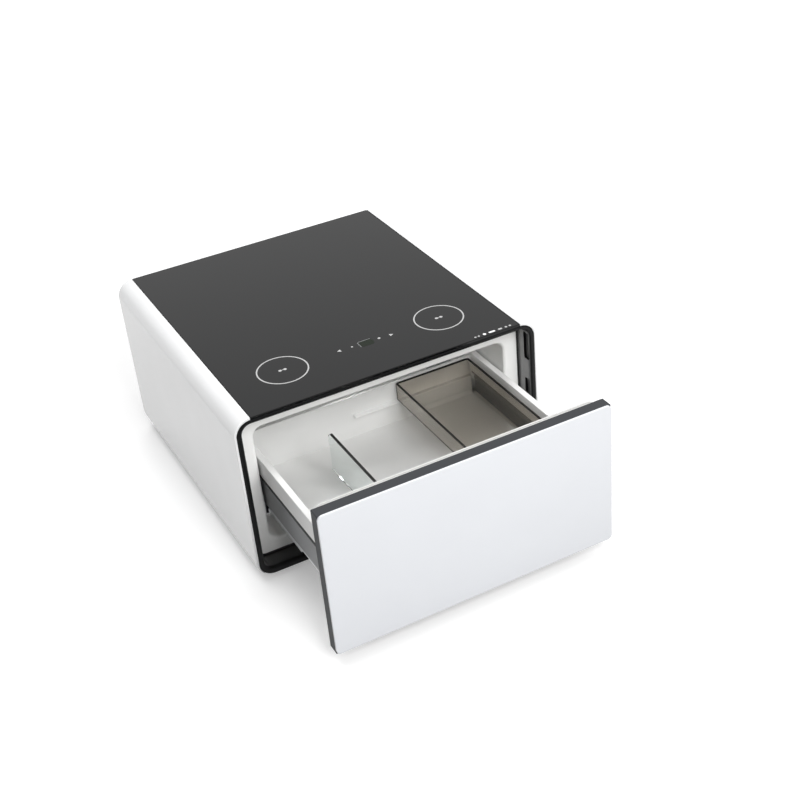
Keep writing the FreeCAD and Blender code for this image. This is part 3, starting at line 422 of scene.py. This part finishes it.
def pick(kind, test):
    """Selects the edges or faces that pass a test of their middle and of themselves."""
    mesh = bmesh.from_edit_mesh(bpy.context.object.data)
    bpy.ops.mesh.select_mode(type={"edges": "EDGE", "faces": "FACE"}[kind])
    bpy.ops.mesh.select_all(action="DESELECT")
    for part in getattr(mesh, kind):
        middle = sum((corner.co for corner in part.verts), Vector()) / len(part.verts)
        if test(middle, part):
            part.select_set(True)
    mesh.select_flush_mode()
    bmesh.update_edit_mesh(bpy.context.object.data)


def runs_along(edge, axis):
    """True where an edge runs along an axis: 0 is X, 1 is Y and 2 is Z."""
    way = edge.verts[1].co - edge.verts[0].co
    return abs(way[axis]) > 0.9 * way.length

# %% Helpers that shape
def flat(place, length, width, turn=(0.0, 0.0, 0.0)):
    """Adds a flat rectangle at its size and place."""
    bpy.ops.mesh.primitive_plane_add(size=1.0, location=place, rotation=turn)
    bpy.context.object.scale = (length, width, 1.0)
    bpy.ops.object.transform_apply(location=True, rotation=True, scale=True)


def block(low, high):
    """Adds a block between two corners."""
    bpy.ops.mesh.primitive_cube_add(size=1.0, location=(low + high) / 2)
    bpy.context.object.scale = high - low
    bpy.ops.object.transform_apply(location=True, rotation=False, scale=True)


def round_edges(test, radius, segments):
    """Rounds those edges of the active piece that pass a test."""
    edit()
    pick("edges", test)
    bpy.ops.mesh.bevel(offset=radius, segments=segments, affect="EDGES")
    bpy.ops.object.mode_set(mode="OBJECT")


def push(way):
    """Extrudes what is selected."""
    bpy.ops.mesh.extrude_region_move(TRANSFORM_OT_translate={"value": way})


def push_edges(way):
    """Extrudes the selected edges into faces."""
    bpy.ops.mesh.extrude_edges_move(TRANSFORM_OT_translate={"value": way})


def keep_band(width):
    """Cuts the middle out of the selected flat face and leaves a band of a width."""
    bpy.ops.mesh.inset(thickness=width, depth=0.0)
    bpy.ops.mesh.delete(type="FACE")


def face_out():
    """Merges doubles, turns every face of the mesh outwards and leaves edit mode."""
    bpy.ops.mesh.select_all(action="SELECT")
    bpy.ops.mesh.remove_doubles(threshold=0.00002)
    bpy.ops.mesh.normals_make_consistent(inside=False)
    bpy.ops.object.mode_set(mode="OBJECT")


def raise_flat(way):
    """Raises the flat mesh under edit into a closed body."""
    bpy.ops.mesh.select_all(action="SELECT")
    push(way)
    face_out()

# %% Helpers that finish
def copy_of(piece, place):
    """A copy of a piece, with a mesh of its own."""
    copy = piece.copy()
    copy.data = piece.data.copy()
    copy.location = place
    scene.collection.objects.link(copy)
    return copy


def together(*pieces):
    """Joins pieces into one."""
    take(*pieces)
    bpy.ops.object.join()


def settle(name, body, slot, material, *stands_for):
    """Names the active piece, applies its place to its mesh and makes it ride."""
    piece = bpy.context.object
    bpy.ops.object.transform_apply(location=True, rotation=True, scale=True)
    piece.name = piece.data.name = name
    piece.data.materials.clear()
    piece.data.materials.append(material)
    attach(piece, body)
    if stands_for:
        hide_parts(*stands_for)
    print(name, len(piece.data.polygons), "faces")

# %% [markdown]
# ## Printed marks on the glass
# Two thin rings show where a phone charges, a few small marks are the touch keys and a narrow window is the
# display. On the real top they are printed on the glass. Two pale lines along the display's back and left
# edges are a painted highlight. They could all be painted in the glass's material, but then their edges
# would blur, so each is a film a tenth of a millimetre thick, and as far above the glass again, so that the
# two never fight for a pixel.

# %% Ink and display finishes
def ink(name, dark, light, index=1.5):
    """Printing ink, slightly uneven."""
    material, bsdf, place = new_finish(name)
    cloud = place.noise(per_metre=600.0)
    feed(bsdf, Base_Color=cloud.tint(dark, light), Roughness=0.30 + 0.1 * cloud, IOR=index)
    return material


pale_ink = ink("pale_ink", (0.40, 0.40, 0.40), (0.50, 0.50, 0.50))
white_ink = ink("white_ink", (0.80, 0.80, 0.80), (0.88, 0.88, 0.88))
# A pale grey that paints the highlight along two edges of the display.
display_highlight_ink = ink("display_highlight_ink", (0.22, 0.225, 0.23), (0.30, 0.305, 0.31))
display_ink = ink("display_ink", (0.003, 0.006, 0.003), (0.010, 0.016, 0.008), index=1.22)
print("inks", pale_ink.name, white_ink.name, display_highlight_ink.name, display_ink.name)

# %% Flat marks
film, bar_corner = 0.0001, 0.35
print_z = cad_high.z + film


def dot(x, y, radius, corners=24, turn=0.0):
    """A flat disc, or a flat shape of few corners, on the glass."""
    bpy.ops.mesh.primitive_circle_add(vertices=corners, radius=radius, fill_type="NGON",
                                      location=(x, y, print_z), rotation=(0.0, 0.0, turn))
    edit()
    raise_flat((0.0, 0.0, film))
    return bpy.context.object


def bar(x, y, length, width):
    """A flat bar with rounded corners, on the glass."""
    flat((x, y, print_z), length, width)
    edit()
    bpy.ops.mesh.bevel(offset=bar_corner * min(length, width), segments=3, affect="VERTICES")
    raise_flat((0.0, 0.0, film))
    return bpy.context.object

# %% Charging rings
charger_x, charger_y = 0.211, -0.268
ring_radius, ring_line = 0.063, 0.0034
glyph_reach, glyph_radius, glyph_length, glyph_width = 0.0062, 0.0042, 0.0036, 0.0024
for side, x in (("left", -charger_x), ("right", charger_x)):
    begin()
    bpy.ops.mesh.primitive_circle_add(vertices=128, radius=ring_radius, fill_type="NGON",
                                      location=(x, charger_y, print_z))
    edit()
    keep_band(ring_line)
    raise_flat((0.0, 0.0, film))
    settle("charger_ring_" + side, "cabinet", "lamp_white", pale_ink)
    begin()
    ends = [dot(x + way * glyph_reach, charger_y, glyph_radius) for way in (-1, 1)]
    together(*ends, bar(x, charger_y, glyph_length, glyph_width))
    settle("charger_glyph_" + side, "cabinet", "lamp_white", pale_ink)

# %% Touch keys
begin()
arrow_left = dot(x=-0.0620, y=-0.2686, radius=0.0066, corners=3, turn=quarter_turn)
small_key = dot(x=-0.0287, y=-0.2690, radius=0.0026)
large_key = dot(x=0.0436, y=-0.2706, radius=0.0036)
arrow_right = dot(x=0.0750, y=-0.2730, radius=0.0064, corners=3, turn=-quarter_turn)
together(arrow_left, small_key, large_key, arrow_right)
settle("touch_keys", "cabinet", "lamp_white", pale_ink)

# %% Display, with a painted highlight on two of its edges
highlight_line = 0.0012
begin()
bar(x=0.009, y=-0.2722, length=0.037, width=0.026)
settle("display_window", "cabinet", "board_green", display_ink)
# Painted highlight: pale lines along the display's back and left edges, where the light catches them.
begin()
highlight_behind = bar(x=0.008, y=-0.2585, length=0.033, width=highlight_line)
highlight_beside = bar(x=-0.0103, y=-0.2715, length=highlight_line, width=0.024)
together(highlight_behind, highlight_beside)
settle("display_highlight", "cabinet", "lamp_white", display_highlight_ink)

# %% Icon row
row_y = -0.4058
begin()
diamonds = [dot(x, row_y, radius=0.0034, corners=4) for x in (0.235, 0.2445)]
dash = bar(0.3042, row_y, length=0.011, width=0.006)
discs = [dot(x, row_y, radius=0.0032) for x in (0.3207, 0.3321)]
together(*diamonds, dash, *discs)
settle("icon_row", "cabinet", "lamp_white", pale_ink)
begin()
hexagon = dot(0.2603, row_y, radius=0.0046, corners=6)
long_dash = bar(0.2812, row_y, length=0.0175, width=0.0062)
together(hexagon, long_dash)
settle("icon_row_lit", "cabinet", "lamp_white", white_ink)

# %% [markdown]
# ## The door's seal
# A refrigerator's seal is a soft extrusion: a flat foot, a bellows that gives, and a box that holds a magnet
# strip. It could be a curve with a profile, but that pinches at tight corners. So its section is drawn once
# by pushing an edge forward step by step, and then it is swept round the door: straight runs are extruded
# and corners are spun.

# %% Section of the seal
seal_low, seal_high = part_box("door_gasket")
seal_width, seal_corner, seal_foot = 0.016, 0.022, 0.003
# Each step is how far the edge goes forward, and how wide the section is there.
seal_steps = ((0.0, 0.005), (0.0025, 0.005), (0.002, 0.012), (0.002, 0.012), (0.002, 0.006), (0.0008, 0.015),
              (0.0036, 0.015), (0.0009, 0.012))
seal_z = seal_low.z + seal_width / 2
begin()
flat((seal_low.x + seal_corner, seal_low.y + seal_foot / 2, seal_z), seal_width, seal_foot,
     turn=(0.0, quarter_turn, 0.0))
edit()
pick("edges", lambda middle, edge: middle.y > seal_low.y + seal_foot - near)
width = seal_width
for forward, next_width in seal_steps:
    push_edges((0.0, forward, 0.0))
    bpy.ops.transform.resize(value=(1.0, 1.0, next_width / width), center_override=(0.0, 0.0, seal_z))
    width = next_width
bpy.ops.mesh.select_all(action="SELECT")
bpy.ops.mesh.dissolve_faces()
bpy.ops.mesh.select_all(action="SELECT")
bpy.ops.mesh.delete(type="ONLY_FACE")
print("seal section", len(seal_steps), "steps")

# %% Seal swept round the door
run_x = seal_high.x - seal_low.x - 2 * seal_corner
run_z = seal_high.z - seal_low.z - 2 * seal_corner
left, right = seal_low.x + seal_corner, seal_high.x - seal_corner
bottom, top = seal_low.z + seal_corner, seal_high.z - seal_corner
bpy.ops.mesh.select_all(action="SELECT")
for run, turn_x, turn_z in (((run_x, 0.0, 0.0), right, bottom), ((0.0, 0.0, run_z), right, top),
                            ((-run_x, 0.0, 0.0), left, top), ((0.0, 0.0, -run_z), left, bottom)):
    push_edges(run)
    bpy.ops.mesh.spin(steps=7, angle=quarter_turn, center=(turn_x, 0.0, turn_z), axis=(0.0, 1.0, 0.0))
face_out()
bpy.ops.object.shade_smooth_by_angle(angle=math.radians(35))
settle("door_seal", "drawer", "gasket_grey", seal_grey, "door_gasket")

# %% [markdown]
# ## Levelling feet
# Each foot is a rubber pad with a knurled rim, a hexagon for the spanner and a threaded stem that runs up
# into the cabinet. The thread is drawn as closed rings, which look the same as a helix at this size and
# close at both ends. One foot is modelled and four copies get meshes of their own.

# %% Pad of a foot
pad_radius, pad_height = 0.020, 0.008
knurl_rim, knurl_depth = 0.0003, 0.0009
top_rim, dish_slope, dish_depth = 0.0015, 0.006, 0.0015
sole_rim, groove_slope, groove_depth = 0.002, 0.002, 0.0008
foot_low, foot_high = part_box("foot_front_left")
foot_x, foot_y = (foot_low.x + foot_high.x) / 2, (foot_low.y + foot_high.y) / 2
begin()
bpy.ops.mesh.primitive_cylinder_add(vertices=60, radius=pad_radius, depth=pad_height,
                                    location=(foot_x, foot_y, pad_height / 2))
bpy.ops.object.transform_apply(location=True, rotation=False, scale=False)
edit()
pick("faces", lambda middle, face: abs(face.normal.z) < 0.5 and face.index % 2 == 0)
bpy.ops.mesh.inset(thickness=knurl_rim, depth=-knurl_depth, use_individual=True)
pick("faces", lambda middle, face: middle.z > pad_height - near)
bpy.ops.mesh.inset(thickness=top_rim, depth=0.0)
bpy.ops.mesh.inset(thickness=dish_slope, depth=-dish_depth)
pick("faces", lambda middle, face: middle.z < near)
bpy.ops.mesh.inset(thickness=sole_rim, depth=0.0)
bpy.ops.mesh.inset(thickness=groove_slope, depth=-groove_depth)
bpy.ops.object.mode_set(mode="OBJECT")
pad = bpy.context.object
print("pad", len(pad.data.polygons), "faces")

# %% Hexagon of a foot
hex_radius, hex_top, hex_bevel = 0.0086, 0.0127, 0.0006
sunk = 0.001
hex_low = pad_height - sunk
begin()
bpy.ops.mesh.primitive_cylinder_add(vertices=6, radius=hex_radius, depth=hex_top - hex_low,
                                    location=(foot_x, foot_y, (hex_top + hex_low) / 2))
round_edges(lambda middle, edge: not runs_along(edge, 2), hex_bevel, segments=2)
hexagon_nut = bpy.context.object
print("hexagon", len(hexagon_nut.data.polygons), "faces")

# %% Stem of a foot
stem_radius, thread_pitch, root_share = 0.004, 0.00125, 0.88
stem_chamfer, stem_crown = 0.0008, 0.0004
flank = thread_pitch / 2
begin()
bpy.ops.mesh.primitive_circle_add(vertices=24, radius=stem_radius, fill_type="NGON",
                                  location=(foot_x, foot_y, hex_top - sunk))
edit()
climbed = 0.0
while climbed + 2 * flank < foot_high.z - hex_top:
    for factor in (root_share, 1.0 / root_share):
        push((0.0, 0.0, flank))
        bpy.ops.transform.resize(value=(factor, factor, 1.0), center_override=(foot_x, foot_y, 0.0))
        climbed += flank
bpy.ops.mesh.inset(thickness=stem_chamfer, depth=stem_crown)
bpy.ops.object.mode_set(mode="OBJECT")
together(pad, hexagon_nut, bpy.context.object)
bpy.ops.object.transform_apply(location=True, rotation=True, scale=True)
bpy.ops.object.shade_smooth_by_angle(angle=math.radians(40))
first_foot = bpy.context.object
print("stem", round(climbed, 4), "m of thread")

# %% Four feet
for name in feet:
    low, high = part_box(name)
    take(copy_of(first_foot, ((low.x + high.x) / 2 - foot_x, (low.y + high.y) / 2 - foot_y, 0.0)))
    settle(name + "_tread", name, "foot_black", rubber_black, name)
bpy.data.objects.remove(first_foot)

# %% [markdown]
# ## Screws of the rear cover
# Pan head screws with a cross recess hold the rear cover. The recess could be pushed into a grid of faces on
# the head, but that leaves the grid on the round edge. A tapered block cut out twice, the second time turned
# by a quarter, keeps the head clean. One screw is modelled, and the copies are joined into one piece, as the
# solids are.

# %% One screw head
screw_low, screw_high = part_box("rear_cover_screws")
head_radius, head_round = 0.0045, 0.0012
head_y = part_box("rear_cover")[1].y
begin()
bpy.ops.mesh.primitive_cylinder_add(vertices=32, radius=head_radius, depth=screw_high.y - head_y,
                                    location=(0.0, (head_y + screw_high.y) / 2, 0.0),
                                    rotation=(quarter_turn, 0.0, 0.0))
bpy.ops.object.transform_apply(location=True, rotation=True, scale=True)
round_edges(lambda middle, edge: middle.y > screw_high.y - near, head_round, segments=4)
head = bpy.context.object
print("plain head", len(head.data.polygons), "faces")

# %% Cross recess
slot_length, slot_width, slot_depth, slot_taper = 0.0052, 0.0009, 0.0013, 0.7
slot_middle = Vector((0.0, screw_high.y, 0.0))
slot_half = Vector((slot_length / 2, slot_depth, slot_width / 2))
begin()
block(slot_middle - slot_half, slot_middle + slot_half)
slot = bpy.context.object
edit()
pick("faces", lambda middle, face: abs(face.normal.x) > 0.9)
bpy.ops.transform.resize(value=(1.0, 1.0, slot_taper), center_override=slot_middle)
bpy.ops.object.mode_set(mode="OBJECT")
for turn in (0.0, quarter_turn):
    slot.rotation_euler = (0.0, turn, 0.0)
    bpy.context.view_layer.update()
    cut = head.modifiers.new("recess", "BOOLEAN")
    cut.operation = "DIFFERENCE"
    cut.solver = "EXACT"
    cut.object = slot
    take(head)
    bpy.ops.object.modifier_apply(modifier=cut.name)
bpy.data.objects.remove(slot)
bpy.ops.object.shade_smooth_by_angle(angle=math.radians(35))
print("head with its recess", len(head.data.polygons), "faces")

# %% Six screws
side_x, inner_x = screw_high.x - head_radius, 0.178
low_z, high_z = screw_low.z + head_radius, screw_high.z - head_radius
heads = []
for x, z in ((side_x, (low_z + high_z) / 2), (inner_x, low_z), (inner_x, high_z)):
    heads += [copy_of(head, (way * x, 0.0, z)) for way in (-1, 1)]
bpy.data.objects.remove(head)
together(*heads)
settle("cover_screw_heads", "cabinet", "steel_zinc", zinc_strip, "rear_cover_screws")

# %% [markdown]
# ## The cold plate
# The evaporator at the back of the cavity is two sheets rolled together, with the channel for the
# refrigerant blown up between them. A bump in the material could hint at the channel, but the real one
# stands proud and casts a shade, so a circle is swept to and fro: a straight run, half a turn, a run back.

# %% Plate
plate_low, plate_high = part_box("evaporator_plate")
plate_corner = 0.010
channel_radius, channel_pitch, channel_inset = 0.0020, 0.034, 0.028
channel_y = plate_low.y + channel_radius
begin()
block(Vector((plate_low.x, channel_y, plate_low.z)), plate_high)
round_edges(lambda middle, edge: runs_along(edge, 1), plate_corner, segments=5)
plate = bpy.context.object
print("plate", len(plate.data.polygons), "faces")

# %% Channel
start_x, end_x = plate_low.x + channel_inset, plate_high.x - channel_inset
row_z, last_z = plate_low.z + channel_inset, plate_high.z - channel_inset
begin()
bpy.ops.mesh.primitive_circle_add(vertices=12, radius=channel_radius, fill_type="NGON",
                                  location=(start_x, channel_y, row_z), rotation=(0.0, quarter_turn, 0.0))
bpy.ops.object.transform_apply(location=True, rotation=True, scale=True)
edit()
way = 1.0
while row_z < last_z:
    push((way * (end_x - start_x), 0.0, 0.0))
    if row_z + channel_pitch < last_z:
        bend = (end_x if way > 0 else start_x, 0.0, row_z + channel_pitch / 2)
        bpy.ops.mesh.spin(steps=8, angle=2 * quarter_turn, center=bend, axis=(0.0, way, 0.0))
    row_z += channel_pitch
    way = -way
face_out()
together(plate, bpy.context.object)
bpy.ops.object.shade_smooth_by_angle(angle=math.radians(40))
settle("cold_plate", "cabinet", "evaporator_alu", plate_silver, "evaporator_plate")

# %% [markdown]
# ## The lamp
# A small lamp in the cavity's roof comes on with the drawer. Its lens is ribbed to spread the light: one rib
# and an Array modifier make the row. A Blender lamp would stay behind when the part is exported, so the
# lens's own finish gives off the light.

# %% Lamp housing
lamp_low, lamp_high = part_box("cavity_light")
housing_height, housing_corner = 0.005, 0.004
lip_width, lip_slope, lip_depth = 0.0012, 0.0006, 0.001
begin()
block(Vector((lamp_low.x, lamp_low.y, lamp_high.z - housing_height)), lamp_high)
round_edges(lambda middle, edge: runs_along(edge, 2), housing_corner, segments=4)
edit()
pick("faces", lambda middle, face: face.normal.z < -0.9)
bpy.ops.mesh.inset(thickness=lip_width, depth=0.0)
bpy.ops.mesh.inset(thickness=lip_slope, depth=-lip_depth)
bpy.ops.object.mode_set(mode="OBJECT")
settle("lamp_housing", "cabinet", "lamp_white", liner_white, "cavity_light")

# %% Lamp lens
def lens_glow():
    """Milky plastic that gives off light."""
    material, bsdf, place = new_finish("lamp_lens")
    cloud = place.noise(per_metre=120.0)
    feed(bsdf, Base_Color=cloud.tint((0.80, 0.80, 0.78), (0.88, 0.88, 0.86)), Roughness=0.35,
         Emission_Color=cloud.tint((0.94, 0.95, 0.96), (1.0, 1.0, 1.0)), Emission_Strength=24.0)
    return material


rib_radius, rib_count = 0.0032, 17
rib_inset, rib_short = 0.006, 0.005
rib_length = lamp_high.y - lamp_low.y - rib_short
rib_pitch = (lamp_high.x - lamp_low.x - 2 * rib_inset) / (rib_count - 1)
rib_place = (lamp_low.x + rib_inset, (lamp_low.y + lamp_high.y) / 2, lamp_low.z + rib_radius)
begin()
bpy.ops.mesh.primitive_cylinder_add(vertices=12, radius=rib_radius, depth=rib_length, location=rib_place,
                                    rotation=(quarter_turn, 0.0, 0.0))
row = bpy.context.object.modifiers.new("row", "ARRAY")
row.count = rib_count
row.use_relative_offset = False
row.use_constant_offset = True
row.constant_offset_displace = (rib_pitch, 0.0, 0.0)
bpy.ops.object.modifier_apply(modifier=row.name)
bpy.ops.object.shade_smooth_by_angle(angle=math.radians(40))
settle("lamp_lens", "cabinet", "lamp_white", lens_glow())

# %% [markdown]
# ## Dark beads
# Black sealant fills the narrow gaps beside the table glass. Dark strips in the grooves of the drawer's
# sides and a thin black bead in the joint between the frame's throat and the liner's flange are painted
# shade: they darken those recesses where their shade falls. They are small, but each draws a crisp dark
# line, which a darker colour on the nearby surfaces would not do from every side.

# %% Beads beside the glass
glass_low, glass_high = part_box("top_glass")
bead_width, bead_height, bead_round = 0.0017, 0.005, 0.0007
bead_gap, bead_short = 0.001, 0.002
bead_top = glass_low.z + bead_height
beads = []
for x in (glass_low.x - bead_gap, glass_high.x + bead_gap):
    begin()
    block(Vector((x - bead_width / 2, glass_low.y + bead_short, glass_low.z)),
          Vector((x + bead_width / 2, glass_high.y - bead_short, bead_top)))
    round_edges(lambda middle, edge: middle.z > bead_top - near, bead_round, segments=3)
    beads.append(bpy.context.object)
together(*beads)
settle("glass_beads", "cabinet", "rubber_black", rubber_black)

# %% Painted shade: dark strips in the drawer's grooves
side_low, side_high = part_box("drawer_side_right")
strip_depth, strip_thickness, strip_round = 0.0008, 0.0050, 0.0008
strip_below, strip_height, strip_short = 0.0003, 0.0122, 0.001
strip_outer = side_high.x - strip_depth
strip_top = side_high.z - strip_below
shade_strips = []
# These dark strips are painted shade: they darken the groove under the rim, where the rim's shade falls.
for way in (-1, 1):
    begin()
    ends = sorted((way * strip_outer, way * (strip_outer - strip_thickness)))
    block(Vector((ends[0], side_low.y + strip_short, strip_top - strip_height)),
          Vector((ends[1], side_high.y - strip_short, strip_top)))
    round_edges(lambda middle, edge: abs(middle.x) > strip_outer - near, strip_round, segments=3)
    shade_strips.append(bpy.context.object)
together(*shade_strips)
settle("groove_shade_strips", "drawer", "rubber_black", rubber_black)

# %% Painted shade: dark bead round the flange
def rounded_band(corner, segments, width, way):
    """Rounds the corners of the active flat rectangle, keeps a band along its edge and raises that."""
    edit()
    bpy.ops.mesh.bevel(offset=corner, segments=segments, affect="VERTICES")
    bpy.ops.mesh.select_all(action="SELECT")
    keep_band(width)
    raise_flat(way)


flange_low, flange_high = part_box("inner_liner")
flange_hidden, throat_corner = 0.0043, 0.0247
throat_low, throat_high = flange_low.z + flange_hidden, flange_high.z - flange_hidden
throat_width = flange_high.x - flange_low.x - 2 * flange_hidden
bead_face, bead_rise, bead_clear = 0.0042, 0.0014, 0.0001
# The black bead paints the shade in the joint between the frame's throat and the liner's flange.
begin()
flat((0.0, flange_low.y - bead_clear, (throat_low + throat_high) / 2),
     throat_width, throat_high - throat_low, turn=(quarter_turn, 0.0, 0.0))
rounded_band(throat_corner, segments=8, width=bead_face, way=(0.0, -bead_rise, 0.0))
settle("flange_shade_bead", "cabinet", "rubber_black", rubber_black)

# %% [markdown]
# ## The tray's edge
# The smoked tray ends in a rounded black bead, a little wider than its wall, that a hand takes hold of. A
# curve with a bevel would give a round cord, but the bead is flatter than that. So a plane the size of the
# tray gets round corners, its middle is cut away, and the band that is left is raised and rounded.

# %% Bead of the tray
edge_low, edge_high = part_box("fruit_tray_rim")
edge_out, edge_width, edge_corner = 0.001, 0.0056, 0.007
begin()
flat(((edge_low.x + edge_high.x) / 2, (edge_low.y + edge_high.y) / 2, edge_low.z),
     edge_high.x - edge_low.x + 2 * edge_out, edge_high.y - edge_low.y + 2 * edge_out)
rounded_band(edge_corner, segments=6, width=edge_width, way=(0.0, 0.0, edge_high.z - edge_low.z))
rounding = bpy.context.object.modifiers.new("round", "BEVEL")
rounding.width = 0.001
rounding.segments = 2
rounding.limit_method = "ANGLE"
bpy.ops.object.modifier_apply(modifier=rounding.name)
bpy.ops.object.shade_smooth_by_angle(angle=math.radians(35))
settle("tray_bead", "tray", "trim_dark", trim_dark, "fruit_tray_rim")

# %% [markdown]
# ## Floor, world and lights
# A plain pale floor, a soft sky all round and four broad lamps. To the camera, to gloss and through glass
# the world is plain white. For light it is dimmer, so that colours render about as they are written. The
# floor pales to white away from the table, and is clear from below. The lamps are hidden from gloss, so
# that no bright square lies on the glass.

# %% Floor
def seen_directly(pen):
    """1 for rays from the camera, in a mirror or through glass, and 0 for rays that carry light about."""
    path = pen.node("LightPath", out="Is Camera Ray")
    rays = path.socket.node.outputs
    return path + Pen(pen.tree, rays["Is Glossy Ray"]) + Pen(pen.tree, rays["Is Transmission Ray"])


def floor_pale():
    """A floor that pales to white with distance from the table."""
    material, bsdf, place = new_finish("floor_pale")
    seen = seen_directly(place)
    away = place.node("VectorMath", {"operation": "LENGTH"}, {0: place}, "Value")
    shade_end, middle, white_start = 0.8, 2.6, 5.0
    paling = 0.72 * away.rise(shade_end, middle) + 0.28 * away.rise(middle, white_start)
    lift = paling.tint((0.30, 0.30, 0.30), (0.80, 0.80, 0.80))
    from_below = place.node("NewGeometry", out="Backfacing")
    feed(bsdf, Base_Color=seen.tint((0.38, 0.38, 0.38), (0.80, 0.80, 0.80)), Roughness=0.9,
         Emission_Color=seen.tint((0.0, 0.0, 0.0), lift), Emission_Strength=1.0, Alpha=1.0 - from_below)
    return material


floor_size = 24.0
begin()
bpy.ops.mesh.primitive_plane_add(size=floor_size, location=(0.0, 0.0, 0.0))
floor = bpy.context.object
floor.name = "floor"
floor.data.materials.append(floor_pale())
print("floor", floor_size, "m wide")

# %% World
sky_light, sky_seen = 0.28, 1.0
world = bpy.data.worlds.new("studio")
scene.world = world
world.use_nodes = True
sky = Pen(world.node_tree)
background = world.node_tree.nodes["Background"]
strength = sky.node("MapRange", {}, {"Value": seen_directly(sky), "To Min": sky_light, "To Max": sky_seen})
feed(background, Color=(1.0, 1.0, 1.0, 1.0), Strength=strength)
print("sky", sky_light, "for light and", sky_seen, "to the eye")

# %% Lamps
def softbox(name, place, aim, size, watts):
    """A square lamp that looks at a point, hidden from gloss."""
    lamp = bpy.data.objects.new(name, bpy.data.lights.new(name, "AREA"))
    scene.collection.objects.link(lamp)
    lamp.data.shape = "RECTANGLE"
    lamp.data.size = lamp.data.size_y = size
    lamp.data.energy = watts
    lamp.visible_glossy = False
    lamp.location = place
    lamp.rotation_euler = (Vector(aim) - Vector(place)).to_track_quat("-Z", "Y").to_euler()
    print(name, watts, "W")


softbox("key", place=(0.2, -3.2, 2.4), aim=(0.0, -0.3, 0.25), size=2.0, watts=104.0)
softbox("top", place=(-0.6, 0.1, 3.1), aim=(-0.1, 0.0, 0.4), size=1.8, watts=50.0)
softbox("right", place=(3.0, -1.0, 1.8), aim=(0.0, -0.2, 0.25), size=1.6, watts=30.0)
softbox("rear", place=(0.9, 3.0, 2.4), aim=(0.0, 0.3, 0.25), size=1.8, watts=25.0)
